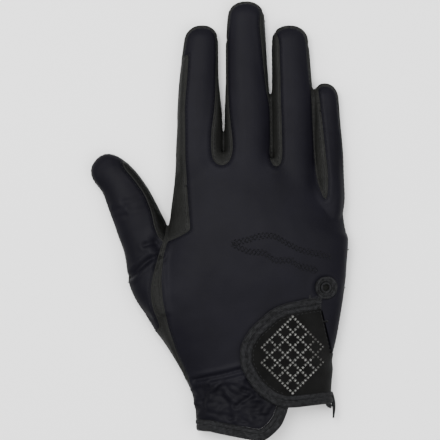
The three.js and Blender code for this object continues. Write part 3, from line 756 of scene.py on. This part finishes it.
def gathers(places):
    """Height of the puckers of the elastic round the wrist, which end at the tape."""
    own = sizes()
    x = (places[:, 0] - MIDDLE_X) / own.palm_width
    y = (places[:, 1] - CUFF_Y) / own.palm_length
    upper = 0.235 + 0.1 * x
    to_tape = from_line(places[:, :2], edge_lines()[0])[0] - own.tape_width
    zone = (1 - ramp(y, upper - 0.025, upper)) * ramp(places[:, 2], 5 * MM, 10 * MM)
    zone *= ramp(to_tape, 0.4 * MM, 3 * MM)
    height = np.zeros(len(places))
    for i in np.nonzero(zone > 0)[0]:
        px, py, _ = places[i]
        slant = 0.5 * px + 0.87 * py
        across = 0.87 * px - 0.5 * py
        folds = wave((slant * 0.7, across * 1.7, 0), 6.4 * MM, 1)
        wrinkles = wave((px, py * 1.5, 0), 3.6 * MM, 7)
        net = 1 - 3 * abs(wave((slant * 1.3, across, 0), 7.5 * MM, 4))
        height[i] = zone[i] * (1.35 * (folds + 0.55 * wrinkles) - 0.6 * max(net, 0)) * MM
    return height


def hill(away, wide):
    """A smooth hill of height 1 that falls off with the distance from its middle."""
    return np.exp(-((away / wide) ** 2))


def relief(places, seam_distance):
    """Height of the skin's relief over its even form, at each place."""
    over = ramp(places[:, 2], 7 * MM, 12 * MM)
    height = -0.4 * MM * hill(seam_distance, 0.9 * MM)
    height += 0.18 * MM * hill(seam_distance - 2.4 * MM, 1.3 * MM)
    for crease in CREASES:
        away, _ = from_line(places[:, :2], curve(crease.line, 4))
        height -= over * crease.deep * hill(away, crease.wide)
        height += over * 0.35 * crease.deep * hill(away - 2.2 * crease.wide, crease.wide)
    height += gathers(places)
    slack = np.array([wave(place, 17 * MM, 5) + 0.5 * wave(place, 7 * MM, 2) for place in places])
    return height + 0.22 * MM * slack * over


@cache
def skin():
    """The glove's skin sorted into regions, with its relief, its seams and a tree of its faces."""
    own = sizes()
    tubes = [hand_rings(), *[finger_rings(finger) for finger in FINGERS.values()], thumb_rings()]
    bm = joined(tubes, own.voxel)
    soften_knuckles(bm)
    layer = sort_faces(bm, glove_regions, own.voxel)
    seams = []
    for edge in bm.edges:
        regions = {face[layer] for face in edge.link_faces}
        if len(regions) == 2 and 0 not in regions:
            seams.append(edge)
    on_seam = list({vert for edge in seams for vert in edge.verts})
    tree = KDTree(len(on_seam))
    for number, vert in enumerate(on_seam):
        tree.insert(vert.co, number)
    tree.balance()
    distance = np.array([tree.find(vert.co)[2] for vert in bm.verts])
    places, normals = places_of(bm.verts), np.array([vert.normal for vert in bm.verts])
    places += relief(places, distance)[:, None] * normals
    places[:, 2] = np.maximum(places[:, 2], 0)
    for vert, place in zip(bm.verts, places):
        vert.co = place
    bm.normal_update()
    write_layer(bm, "seam", distance)
    lines = []
    for run in chains(seams):
        faces = {face[layer] for face in run[1].link_faces}
        points, outward = [vert.co.copy() for vert in run], [vert.normal.copy() for vert in run]
        lines.append((faces, points, outward))
    return bm, layer, lines, BVHTree.FromBMesh(bm)


def panel(name, region, material, slot):
    """One panel cut from the skin, with its thickness, in place of the CAD node of its region."""
    bm, layer, _, _ = skin()
    made = walled(shown(name, part_of(bm, layer, REGIONS.index(region))), sizes().wall)
    return placed(made, material, slot, region)


# Threads, piping and tape


def piping(name, lines, radius, material, slot, lift=0.0):
    """A round cord along each line of (points, normals), raised from it."""
    path = bpy.data.curves.new(name, "CURVE")
    path.dimensions = "3D"
    path.bevel_depth = radius
    path.bevel_resolution = 1
    path.use_fill_caps = True
    for points, normals in lines:
        spline = path.splines.new("POLY")
        spline.points.add(len(points) - 1)
        for target, place in zip(spline.points, points + lift * normals):
            target.co = (place[0], place[1], max(place[2], radius), 1)
    made = bpy.data.objects.new(name, path)
    bpy.context.collection.objects.link(made)
    depsgraph = bpy.context.evaluated_depsgraph_get()
    mesh = bpy.data.meshes.new_from_object(made.evaluated_get(depsgraph))
    bpy.data.objects.remove(made)
    made = bpy.data.objects.new(name, mesh)
    bpy.context.collection.objects.link(made)
    mesh.shade_smooth()
    return placed(made, material, slot)


def add_stitch(bm, middle, along, outward, length, width):
    side = along.cross(outward).normalized()
    outward = side.cross(along).normalized()
    turn = Matrix((along, side, outward)).transposed().to_4x4()
    size = Matrix.Diagonal((length / 2, width / 2, width / 2, 1))
    place = Matrix.Translation(middle) @ turn @ size
    bmesh.ops.create_icosphere(bm, subdivisions=1, radius=1, matrix=place)


def stitch_rows(name, rows, material, slot, length=None, width=None, space=1.3):
    """Stitches along rows of (points, normals)."""
    own = sizes()
    length = length or own.stitch_length
    width = width or own.thread_width
    bm = bmesh.new()
    for points, normals in rows:
        run = run_along(points)
        at = np.arange(length * 0.7, run[-1] - length * 0.5, length * space)
        lines = [at_lengths(points, run, at + shift) for shift in (0, length / 2, -length / 2)]
        for spot, ahead, behind, outward in zip(*lines, at_lengths(normals, run, at)):
            along = (Vector(ahead) - Vector(behind)).normalized()
            middle = Vector((spot[0], spot[1], max(spot[2], width / 2)))
            add_stitch(bm, middle, along, Vector(outward).normalized(), length, width)
    made = shown(name, bm)
    made.data.shade_smooth()
    return placed(made, material, slot)


def on_surface(tree, spots, height):
    """Spots given in plan, laid on top of a surface, with its normals."""
    points, normals = [], []
    for x, y in spots:
        place, normal, _, _ = tree.ray_cast(Vector((x, y, 0.2)), Vector((0, 0, -1)))
        if place:
            points.append(place + normal * height)
            normals.append(normal)
    return np.array(points), np.array(normals)


def beside(points, normals, distance, tree, height):
    """A line moved sideways over a surface."""
    side = unit(np.cross(np.gradient(points, axis=0), normals))
    moved, outward = [], []
    for point in points + side * distance:
        place, normal, _, _ = tree.find_nearest(Vector(point))
        moved.append(place + normal * height)
        outward.append(normal)
    return np.array(moved), np.array(outward)


def tape_profile(across, width):
    """Height of a ribbed tape over its width: a rounded edge, two ridges and a stitched groove."""
    share = across / width
    height = 0.75 * MM * np.exp(-(((share - 0.28) / 0.24) ** 4))
    height += 0.7 * MM * np.exp(-(((share - 0.79) / 0.16) ** 4))
    height += 0.08 * MM * np.sin(2 * math.pi * share * 5)
    height -= 0.9 * MM * (1 - ramp(share, 0, 0.12))
    return height - 0.15 * MM


def finish_tape(name, part, across, along, thickness, *nodes):
    """A tape made of a part of a skin, with its profile and the attributes its material needs."""
    width = sizes().tape_width
    across = np.clip(across, 0, width)
    write_layer(part, "across", across / width)
    write_layer(part, "along", along / MM)
    for vert, rise in zip(part.verts, tape_profile(across, width)):
        vert.co += vert.normal * float(rise)
        vert.co.z = max(vert.co.z, 0)
    return placed(walled(shown(name, part), thickness), tape(), "binding", *nodes)


def refined(bm):
    """Every face split into four."""
    bmesh.ops.subdivide_edges(bm, edges=bm.edges, cuts=1, use_grid_fill=True)
    relax(bm, [vert for vert in bm.verts if not vert.is_boundary])
    bm.verts.ensure_lookup_table()
    return bm


# Materials


def node(tree, kind, inputs=None, **settings):
    """A node with its settings, and with a value or a link on each of the named inputs."""
    made = tree.nodes.new(kind)
    for key, value in settings.items():
        setattr(made, key, value)
    for key, value in (inputs or {}).items():
        if isinstance(value, bpy.types.NodeSocket):
            tree.links.new(value, made.inputs[key])
        else:
            made.inputs[key].default_value = value
    return made


def math_node(tree, operation, *values):
    return node(tree, "ShaderNodeMath", dict(enumerate(values)), operation=operation).outputs[0]


def noise_node(tree, where, scale, detail=2.0, roughness=0.5, output="Fac"):
    inputs = {"Vector": where, "Scale": scale, "Detail": detail, "Roughness": roughness}
    return node(tree, "ShaderNodeTexNoise", inputs).outputs[output]


def bands(tree, where, scale, distortion, direction):
    inputs = {"Vector": where, "Scale": scale, "Distortion": distortion}
    return node(tree, "ShaderNodeTexWave", inputs, bands_direction=direction).outputs["Fac"]


def spread(tree, value, start, end, low, high):
    """A value that runs from start to end, made to run from low to high."""
    inputs = {"Value": value, 1: start, 2: end, 3: low, 4: high}
    return node(tree, "ShaderNodeMapRange", inputs).outputs["Result"]


def attribute(tree, name):
    return node(tree, "ShaderNodeAttribute", attribute_name=name).outputs["Fac"]


def group(name, inputs, outputs):
    """A node group with its sockets."""
    tree = bpy.data.node_groups.new(name, "ShaderNodeTree")
    for key, (kind, value) in inputs.items():
        socket = tree.interface.new_socket(key, in_out="INPUT", socket_type=kind)
        if value is not None:
            socket.default_value = value
    for key in outputs:
        tree.interface.new_socket(key, in_out="OUTPUT", socket_type=FLOAT)
    return tree, tree.nodes.new("NodeGroupInput").outputs, tree.nodes.new("NodeGroupOutput").inputs


FLOAT, VECTOR = "NodeSocketFloat", "NodeSocketVector"


@cache
def weave_group():
    """Fine crossing threads with a little unevenness."""
    tree, given, out = group(
        "Glove weave", {"Vector": (VECTOR, None), "Threads": (FLOAT, 400.0)}, ("Height", "Tone")
    )
    where = given["Vector"]
    warp, weft = (bands(tree, where, given["Threads"], 0.6, direction) for direction in ("X", "Y"))
    threads = math_node(tree, "MAXIMUM", warp, weft)
    height = math_node(tree, "MULTIPLY", threads, noise_node(tree, where, 900.0))
    broad = noise_node(tree, where, 45.0, 3.0)
    tree.links.new(height, out["Height"])
    tree.links.new(spread(tree, broad, 0.3, 0.7, 0.85, 1.15), out["Tone"])
    return tree


@cache
def grain_group():
    """Leather grain: small pebbles with creases between them."""
    tree, given, out = group(
        "Glove grain", {"Vector": (VECTOR, None), "Pebbles": (FLOAT, 900.0)}, ("Height", "Tone")
    )
    where = given["Vector"]
    bend = noise_node(tree, where, 300.0, output="Color")
    shift = node(tree, "ShaderNodeVectorMath", {0: bend, "Scale": 0.0015}, operation="SCALE")
    moved = node(tree, "ShaderNodeVectorMath", {0: where, 1: shift.outputs[0]}, operation="ADD")
    pebbles = node(
        tree, "ShaderNodeTexVoronoi", {"Vector": moved.outputs[0], "Scale": given["Pebbles"]},
        feature="DISTANCE_TO_EDGE",
    )
    soft = spread(tree, pebbles.outputs["Distance"], 0.0, 0.22, 0.0, 1.0)
    height = math_node(tree, "MULTIPLY_ADD", noise_node(tree, where, 2600.0, 1.0), 0.25, soft)
    broad = noise_node(tree, where, 70.0, 4.0)
    tree.links.new(height, out["Height"])
    tree.links.new(spread(tree, broad, 0.3, 0.7, 0.8, 1.2), out["Tone"])
    return tree


@cache
def wear_group():
    """A broken light rub along seams, from the distance to the nearest seam."""
    tree, given, out = group(
        "Glove wear",
        {"Vector": (VECTOR, None), "Distance": (FLOAT, 0.0), "Reach": (FLOAT, 0.002)},
        ("Mask",),
    )
    near = spread(tree, given["Distance"], 0.0004, given["Reach"], 1.0, 0.0)
    broken = noise_node(tree, given["Vector"], 350.0, 3.0)
    tree.links.new(math_node(tree, "MULTIPLY", near, broken), out["Mask"])
    return tree


def finish(name, base, roughness, **constants):
    """A material with a Principled shader, whose constant values are set on its own sockets."""
    material = bpy.data.materials.new(name)
    material.use_nodes = True
    tree = material.node_tree
    shader = tree.nodes["Principled BSDF"]
    shader.inputs["Base Color"].default_value = base
    shader.inputs["Roughness"].default_value = roughness
    for key, value in constants.items():
        shader.inputs[key.replace("_", " ").title().replace("Ior", "IOR")].default_value = value
    where = node(tree, "ShaderNodeTexCoord").outputs["Object"]
    return material, tree, shader, where


def tint(tree, shader, base, tone):
    """Gives a shader a colour times a tone."""
    scaled = node(tree, "ShaderNodeVectorMath", {0: base[:3], "Scale": tone}, operation="SCALE")
    tree.links.new(scaled.outputs[0], shader.inputs["Base Color"])


def bump(tree, shader, height, distance, strength):
    made = node(
        tree, "ShaderNodeBump", {"Height": height, "Distance": distance, "Strength": strength}
    )
    tree.links.new(made.outputs[0], shader.inputs["Normal"])


def painted_shade_factor(tree, share):
    """Painted shade: one, or less by a share on pieces that have the attribute shade."""
    return math_node(tree, "MULTIPLY_ADD", attribute(tree, "shade"), -share, 1.0)


@cache
def fabric():
    """Stretch fabric, with painted shade where the wrist is gathered and on the thumb."""
    base = colours().fabric
    material, tree, shader, where = finish("Stretch fabric", base, 0.52, specular_ior_level=0.048)
    weave = node(
        tree, "ShaderNodeGroup", {"Vector": where, "Threads": 420.0}, node_tree=weave_group()
    ).outputs
    along = node(tree, "ShaderNodeSeparateXYZ", {"Vector": where}).outputs["Y"]
    # painted shade: the fabric below the gathers is made 22 % darker, fading out upwards
    gathers_shade = spread(tree, along, *GATHERS_SHADE_FADE, 0.78, 1.0)
    tone = math_node(tree, "MULTIPLY", weave["Tone"], gathers_shade)
    # painted shade: pieces with the attribute shade, here the thumb's fabric, are made 14 % darker
    tint(tree, shader, base, math_node(tree, "MULTIPLY", tone, painted_shade_factor(tree, 0.14)))
    bump(tree, shader, weave["Height"], 0.00006, 0.6)
    return material


@cache
def leather():
    """Grained leather, rubbed along the seams, with painted shade on the thumb's upper side."""
    base = colours().leather
    material, tree, shader, where = finish("Grained leather", base, 0.55, specular_ior_level=0.07)
    grain = node(tree, "ShaderNodeGroup", {"Vector": where}, node_tree=grain_group()).outputs
    wear = node(
        tree, "ShaderNodeGroup", {"Vector": where, "Distance": attribute(tree, "seam")},
        node_tree=wear_group(),
    )
    tone = math_node(tree, "MULTIPLY_ADD", wear.outputs["Mask"], 0.9, grain["Tone"])
    # painted shade: pieces with the attribute shade, here the thumb's leather, are made up to 65 %
    # darker
    tint(tree, shader, base, math_node(tree, "MULTIPLY", tone, painted_shade_factor(tree, 0.65)))
    rough = math_node(tree, "MULTIPLY_ADD", grain["Height"], 0.12, 0.48)
    tree.links.new(rough, shader.inputs["Roughness"])
    bump(tree, shader, grain["Height"], 0.00012, 0.7)
    return material


@cache
def suede():
    base = colours().suede
    material, tree, shader, where = finish(
        "Black suede", base, 0.9, specular_ior_level=0.05, sheen_weight=0.04, sheen_roughness=0.6
    )
    broad = noise_node(tree, where, 110.0, 4.0)
    tint(tree, shader, base, spread(tree, broad, 0.3, 0.7, 0.6, 1.5))
    bump(tree, shader, noise_node(tree, where, 1500.0, 3.0, 0.7), 0.00015, 0.8)
    return material


@cache
def tape():
    """Ribbed woven tape, whose ribs follow the attributes along and across it."""
    base = colours().tape
    material, tree, shader, where = finish("Woven tape", base, 0.7, specular_ior_level=0.08)
    along, across = attribute(tree, "along"), attribute(tree, "across")
    slant = math_node(tree, "MULTIPLY_ADD", across, 5.2, along)
    twill = math_node(tree, "SINE", math_node(tree, "MULTIPLY", slant, 2 * math.pi / 0.9))
    rib = math_node(tree, "SINE", math_node(tree, "MULTIPLY", across, 2 * math.pi * 8))
    both = math_node(tree, "MULTIPLY_ADD", twill, 0.5, math_node(tree, "MULTIPLY", rib, 0.35))
    fluff = noise_node(tree, where, 620.0, 3.0, 0.65)
    height = math_node(tree, "MULTIPLY_ADD", fluff, 4.2, both)
    tint(tree, shader, base, spread(tree, height, 1.4, 3.0, 0.35, 1.9))
    bump(tree, shader, height, 0.00016, 0.8)
    return material


@cache
def thread(name="Thread", key="thread"):
    base = getattr(colours(), key)
    material, tree, shader, where = finish(name, base, 0.5, specular_ior_level=0.1)
    twist = bands(tree, where, 900.0, 2.0, "DIAGONAL")
    tint(tree, shader, base, spread(tree, twist, 0.0, 1.0, 0.7, 1.3))
    bump(tree, shader, twist, 0.00005, 0.5)
    return material


def dark_thread():
    return thread("Dark thread", "dark_thread")


@cache
def stone_finish():
    base = colours().stones
    material, tree, shader, where = finish(
        "Grey stones", base, 0.22, metallic=0.55, coat_weight=0.3
    )
    tint(tree, shader, base, spread(tree, noise_node(tree, where, 500.0), 0.3, 0.7, 0.45, 1.5))
    return material


# Pieces


class GLOVE_OT_fabric_panels(bpy.types.Operator):
    """Make the stretch fabric over the back of the hand, the fingers and the thumb"""

    bl_idname = "glove.fabric_panels"
    bl_label = "Fabric panels"

    def execute(self, context):
        panel("fabric_back", "back_panel", fabric(), "fabric")
        made = panel("fabric_thumb", "thumb_back", fabric(), "fabric")
        # painted shade over the whole of the thumb's fabric
        write_attribute(made, "shade", np.ones(len(made.data.vertices)))
        return {"FINISHED"}


class GLOVE_OT_leather_panels(bpy.types.Operator):
    """Make the leather of the palm, of the thumb's front and of the finger sides"""

    bl_idname = "glove.leather_panels"
    bl_label = "Leather panels"

    def execute(self, context):
        panel("leather_palm", "palm_panel", leather(), "leather")
        made = panel("leather_thumb", "thumb_front", leather(), "leather")
        # painted shade on the thumb's leather: full above 4 mm, none at its foot
        heights = places_of(made.data.vertices)[:, 2]
        write_attribute(made, "shade", ramp(heights, 0.5 * MM, 4 * MM))
        for region in FOURCHETTES:
            panel(region.replace("fourchette", "leather"), region, leather(), "leather")
        return {"FINISHED"}


class GLOVE_OT_cuff_tape(bpy.types.Operator):
    """Make the bound edge round the wrist, up the slit and round its end"""

    bl_idname = "glove.cuff_tape"
    bl_label = "Cuff tape"

    def execute(self, context):
        own = sizes()
        bm, layer, _, _ = skin()
        part = refined(part_of(bm, layer, REGIONS.index("cuff_tape")))
        places = places_of(part.verts)
        spots = places[:, :2]
        over = places[:, 2] > seam_height(places[:, 1])
        cuff, palm = (np.stack(from_line(spots, line)) for line in edge_lines())
        away = spots - plan([KEYHOLE])
        from_middle = np.linalg.norm(away, axis=1)
        ring = over & (from_middle < own.keyhole_radius + own.tape_width / 2)
        around = np.stack(
            [from_middle - own.keyhole_radius, np.arctan2(away[:, 1], away[:, 0]) * 4 * MM]
        )
        across, along = np.where(ring, around, np.where(over, cuff, palm))
        finish_tape("tape_cuff", part, across, along, 1.8 * MM, "cuff_binding")
        self.add_keyhole_edges()
        return {"FINISHED"}

    def add_keyhole_edges(self):
        """The loop's two rolled edges, and the lining seen through it."""
        own = sizes()
        _, _, _, tree = skin()
        middle = plan([KEYHOLE])[0]
        turn = np.linspace(0, 2 * math.pi, 49)
        ring = np.stack([np.cos(turn), np.sin(turn)], axis=1)
        _, normals = on_surface(tree, middle + ring * own.keyhole_radius * 1.5, 0)
        outward = unit(normals.mean(axis=0))
        level, _ = on_surface(tree, middle + ring * (own.keyhole_radius + own.tape_width / 2), 0)
        base = level[:-1].mean(axis=0)
        side = unit(np.cross((0, 1, 0), outward))
        ahead = np.cross(outward, side)
        for name, radius, thick, lift in (
            ("keyhole_edge", own.keyhole_radius + 0.43 * own.tape_width, 0.85 * MM, 0.9 * MM),
            ("keyhole_lip", own.keyhole_radius - 0.1 * MM, 0.75 * MM, 0.7 * MM),
        ):
            points = base + lift * outward + radius * (ring[:, :1] * side + ring[:, 1:] * ahead)
            piping(name, [(points, np.tile(outward, (len(points), 1)))], thick, tape(), "binding")
        bm = bmesh.new()
        radius = own.keyhole_radius + 0.5 * MM
        bmesh.ops.create_circle(bm, cap_ends=True, segments=24, radius=radius)
        facing = Matrix((side, ahead, outward)).transposed().to_4x4()
        place = Matrix.Translation(base - 1.9 * MM * outward) @ facing
        bmesh.ops.transform(bm, matrix=place, verts=bm.verts)
        placed(walled(shown("keyhole_lining", bm), 0.6 * MM), leather(), "leather")


def strap_regions(points):
    """How far each point lies outside the strap, in its tape and in its middle."""
    own = sizes()
    spots = points[:, :2]
    outline = curve(STRAP_OUTLINE)
    root = plan(STRAP_ROOT)
    corners = [(FAR, -FAR), (-FAR, -FAR), (-FAR, FAR), (root[0, 0], FAR)]
    within = np.minimum.reduce(
        [inside(spots, outline), inside(spots, np.vstack([root, corners])), points[:, 2] - 5 * MM]
    )
    edge = own.tape_width - from_line(spots, outline)[0]
    return np.stack([-within, edge, np.full(len(points), FAR)])


@cache
def strap_skin():
    """The strap's outer face, sorted into what lies outside it, its tape and its middle."""
    own = sizes()
    rings = hand_rings(own.strap_height, start=0.06, end=0.56, sides=160, pitch=0.006)
    bm = joined([rings], STRAP_MESH)
    layer = sort_faces(bm, strap_regions, STRAP_MESH)
    places = places_of(bm.verts)
    to_root, _ = from_line(places[:, :2], curve(STRAP_ROOT))
    low = 1 - ramp(places[:, 2], 7 * MM, 18 * MM)
    near = 1 - ramp(to_root, 1 * MM, 12 * MM)
    for vert, share in zip(bm.verts, np.maximum(0.62 * low, 0.8 * near)):
        vert.co -= vert.normal * own.strap_height * float(share)
    bm.normal_update()
    return bm, layer, BVHTree.FromBMesh(bm)


class GLOVE_OT_strap(bpy.types.Operator):
    """Make the strap's suede face and its bound edge"""

    bl_idname = "glove.strap"
    bl_label = "Strap"

    def execute(self, context):
        bm, layer, _ = strap_skin()
        face = shown("strap_face", part_of(bm, layer, 2))
        placed(walled(face, sizes().strap_thickness), suede(), "suede", "strap_flap")
        part = refined(part_of(bm, layer, 1))
        across, along = from_line(places_of(part.verts)[:, :2], curve(STRAP_OUTLINE))
        finish_tape("strap_tape", part, across, along, 2.2 * MM, "flap_binding")
        return {"FINISHED"}


def stone_spots():
    """Plan places of the stones, on a slanted trellis whose cells lie in an ellipse."""
    own = sizes()
    cell = own.stones_per_cell
    middle = plan([TRELLIS_MIDDLE])[0]
    slant = own.stone_pitch * math.sqrt(0.5)
    spots = set()
    for i in range(-2, 5):
        for j in range(-2, 5):
            across, up = (i - j) * slant * cell, (i + j + 1 - cell) * slant * cell
            if (across / TRELLIS_HALF[0]) ** 2 + (up / TRELLIS_HALF[1]) ** 2 > 1:
                continue
            for k in range(cell):
                spots |= {(cell * i + k, cell * j), (cell * (i + 1), cell * j + k)}
                spots |= {(cell * (i + 1) - k, cell * (j + 1)), (cell * i, cell * (j + 1) - k)}
    return [
        (middle[0] + (i - j) * slant, middle[1] + (i + j - cell * cell) * slant)
        for i, j in sorted(spots)
    ]


class GLOVE_OT_tape_end(bpy.types.Operator):
    """Make the free end of the tape, a thin tongue that hangs at the outer side below the strap"""

    bl_idname = "glove.tape_end"
    bl_label = "Tape end"

    def execute(self, context):
        middle = 8 * MM
        rings = []
        turn = 2 * math.pi * (np.arange(12) + 0.5) / 12
        for at, (x, y) in zip(np.linspace(0, 1, 25), curve(TAPE_END, 8)):
            thin = 1.7 * MM * (1 - 0.72 * at**1.1)
            tall = 3 * MM * math.sqrt(1.02 - at**2.4)
            ring = [x + thin * np.cos(turn), np.full(12, y), middle + tall * np.sin(turn)]
            rings.append(np.stack(ring, axis=1))
        bm = bmesh.new()
        loft(bm, rings)
        bmesh.ops.recalc_face_normals(bm, faces=bm.faces)
        places = places_of(bm.verts)
        write_layer(bm, "along", places[:, 1] / MM)
        write_layer(bm, "across", places[:, 2] / middle)
        made = shown("tape_end", bm)
        made.data.shade_smooth()
        placed(made, tape(), "binding")
        return {"FINISHED"}


class GLOVE_OT_stones(bpy.types.Operator):
    """Set the small cut stones on the strap"""

    bl_idname = "glove.stones"
    bl_label = "Stones"

    def execute(self, context):
        width = sizes().stone_width
        _, _, tree = strap_skin()
        points, normals = on_surface(tree, stone_spots(), 0)
        bm = bmesh.new()
        for point, normal in zip(points, normals):
            turn = Vector((0, 0, 1)).rotation_difference(Vector(normal)).to_matrix().to_4x4()
            for foot, top, depth, lift in (
                (width / 2, width / 2, 0.5 * MM, 0.0),
                (width * 0.46, width * 0.26, 0.45 * MM, 0.45 * MM),
            ):
                place = Matrix.Translation(point) @ turn @ Matrix.Translation((0, 0, lift))
                bmesh.ops.create_cone(
                    bm, cap_ends=True, segments=8, radius1=foot, radius2=top, depth=depth,
                    matrix=place,
                )
        placed(shown("strap_stones", bm), stone_finish(), "stones")
        return {"FINISHED"}


def seam_lines(*pairs):
    """Even lines along the seams between the named pairs of regions."""
    _, _, lines, _ = skin()
    wanted = [{REGIONS.index(a), REGIONS.index(b)} for a, b in pairs]
    return [
        even_line(points, normals, 0.9 * MM) for faces, points, normals in lines if faces in wanted
    ]


class GLOVE_OT_seams(bpy.types.Operator):
    """Make the raised seams between the panels and the stitches beside them"""

    bl_idname = "glove.seams"
    bl_label = "Seams"

    def execute(self, context):
        _, _, _, tree = skin()
        pairs = [("back_panel", "palm_panel"), ("thumb_back", "back_panel")]
        pairs += [("thumb_back", "thumb_front"), ("thumb_back", "palm_panel")]
        pairs += [("thumb_front", "palm_panel")]
        pairs += [(name, other) for name in FOURCHETTES for other in ("back_panel", "palm_panel")]
        lines = seam_lines(*pairs)
        piping("seam_ridges", lines, 0.42 * MM, leather(), "leather", lift=0.05 * MM)
        rows = [
            beside(*line, side * 1.5 * MM, tree, 0.02 * MM) for line in lines for side in (-1, 1)
        ]
        stitch_rows("seam_stitches", rows, dark_thread(), "fabric", width=0.32 * MM)
        return {"FINISHED"}


class GLOVE_OT_stitching(bpy.types.Operator):
    """Make the zigzag stitches on the back, and those in the strap's tape and along its root"""

    bl_idname = "glove.stitching"
    bl_label = "Stitching"

    def execute(self, context):
        _, _, _, tree = skin()
        rows = [row for middle in ZIGZAG_ROWS for row in zigzag_pair(middle, 2.1 * MM, 1.7 * MM)]
        rows = [on_surface(tree, row, 0.08 * MM) for row in rows]
        stitch_rows(
            "back_zigzag", rows, dark_thread(), "fabric", length=1.5 * MM, width=0.62 * MM,
            space=1.05,
        )
        _, _, strap = strap_skin()
        width = sizes().tape_width
        outline = curve(STRAP_OUTLINE[:STITCHED_POINTS], 10)
        root = curve(STRAP_ROOT[1:3], 10) - (1.2 * MM, 0)
        rows = [
            on_surface(strap, line, lift)
            for line, lift in (
                (inset_line(outline, width * 0.56), 0.25 * MM),
                (inset_line(outline, width * 1.12), 0.02 * MM),
                (root, 0.02 * MM),
            )
        ]
        stitch_rows("strap_stitches", rows, thread(), "binding")
        return {"FINISHED"}


def zigzag_pair(middle, pitch, reach):
    """Two zigzags over a line, each the other's mirror image, with extra spots along their legs."""
    line = curve(middle, 8)
    run = run_along(line)
    count = int(run[-1] / pitch)
    rows = []
    for side in (-1, 1):
        spots = at_lengths(line, run, np.linspace(0, run[-1], count))
        spots[:, 1] += np.where(np.arange(count) % 2, side, -side) * reach
        legs = zip(spots[:-1], spots[1:])
        row = [a + (b - a) * t for a, b in legs for t in (0, 0.33, 0.67)]
        rows.append(np.array([*row, spots[-1]]))
    return rows


def inset_line(line, distance):
    """An open line moved to its left."""
    along = unit(np.gradient(line, axis=0))
    moved = line + distance * np.stack([-along[:, 1], along[:, 0]], axis=1)
    away, _ = from_line(moved, line)
    return moved[away > 0.97 * distance]


class GLOVE_OT_closure_pad(bpy.types.Operator):
    """Give the hidden pad under the strap its finish"""

    bl_idname = "glove.closure_pad"
    bl_label = "Closure pad"

    def execute(self, context):
        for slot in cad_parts["closure_pad"].material_slots:
            slot.material = suede()
        return {"FINISHED"}


class GLOVE_OT_stage(bpy.types.Operator):
    """Make the pale floor, the soft lights and the camera above the glove"""

    bl_idname = "glove.stage"
    bl_label = "Stage"

    def execute(self, context):
        bm = bmesh.new()
        bmesh.ops.create_grid(bm, x_segments=8, y_segments=8, size=1.5)
        bmesh.ops.translate(bm, verts=bm.verts, vec=(0, 0, CAD_BOX[0][2] - 0.3 * MM))
        floor = shown("floor", bm)
        base = colours().floor
        material, tree, shader, where = finish("Pale floor", base, 0.85, specular_ior_level=0.1)
        cloudy = noise_node(tree, where, 6.0)
        tint(tree, shader, base, spread(tree, cloudy, 0.0, 1.0, 0.985, 1.015))
        floor.data.materials.append(material)
        self.add_lights()
        self.add_camera()
        return {"FINISHED"}

    def add_lights(self):
        """Soft lamps, and a white sky that darkens towards the horizon."""
        for row in LIGHTS:
            lamp = bpy.data.lights.new(row.name, "AREA")
            lamp.energy = row.power
            lamp.size = row.size
            light = bpy.data.objects.new(row.name, lamp)
            light.location = row.place
            light.rotation_euler = (-Vector(row.place)).to_track_quat("-Z", "Y").to_euler()
            bpy.context.collection.objects.link(light)
        world = bpy.data.worlds.new("Pale studio")
        world.use_nodes = True
        sky = world.node_tree
        background = sky.nodes["Background"].inputs
        background["Color"].default_value = (1, 1, 1, 1)
        direction = node(sky, "ShaderNodeTexCoord").outputs["Generated"]
        up = node(sky, "ShaderNodeSeparateXYZ", {"Vector": direction}).outputs["Z"]
        sky.links.new(spread(sky, up, 0.1, 0.95, 0.12, 1.25), background["Strength"])
        bpy.context.scene.world = world

    def add_camera(self):
        lens = bpy.data.cameras.new("camera")
        lens.sensor_width = 36
        lens.lens = 225
        camera = bpy.data.objects.new("camera", lens)
        camera.location = CAMERA_PLACE
        bpy.context.collection.objects.link(camera)
        bpy.context.scene.camera = camera


class GLOVE_PT_pieces(bpy.types.Panel):
    bl_label = "Glove"
    bl_space_type = "VIEW_3D"
    bl_region_type = "UI"
    bl_category = "Glove"

    def draw(self, context):
        for piece in PIECES:
            self.layout.operator(piece.bl_idname)
        for group_of, settings in (
            (GloveSizes, context.scene.glove_sizes), (GloveColours, context.scene.glove_colours)
        ):
            for key in group_of.__annotations__:
                self.layout.prop(settings, key)


PIECES = (
    GLOVE_OT_fabric_panels,
    GLOVE_OT_leather_panels,
    GLOVE_OT_cuff_tape,
    GLOVE_OT_strap,
    GLOVE_OT_tape_end,
    GLOVE_OT_stones,
    GLOVE_OT_seams,
    GLOVE_OT_stitching,
    GLOVE_OT_closure_pad,
    GLOVE_OT_stage,
)
CLASSES = (GloveSizes, GloveColours, *PIECES, GLOVE_PT_pieces)


def register():
    for made in CLASSES:
        bpy.utils.register_class(made)
    bpy.types.Scene.glove_sizes = PointerProperty(type=GloveSizes)
    bpy.types.Scene.glove_colours = PointerProperty(type=GloveColours)


def unregister():
    del bpy.types.Scene.glove_colours
    del bpy.types.Scene.glove_sizes
    for made in reversed(CLASSES):
        bpy.utils.unregister_class(made)


def main():
    register()
    for piece in PIECES:
        space, name = piece.bl_idname.split(".")
        getattr(getattr(bpy.ops, space), name)()


if __name__ == "__main__":
    main()
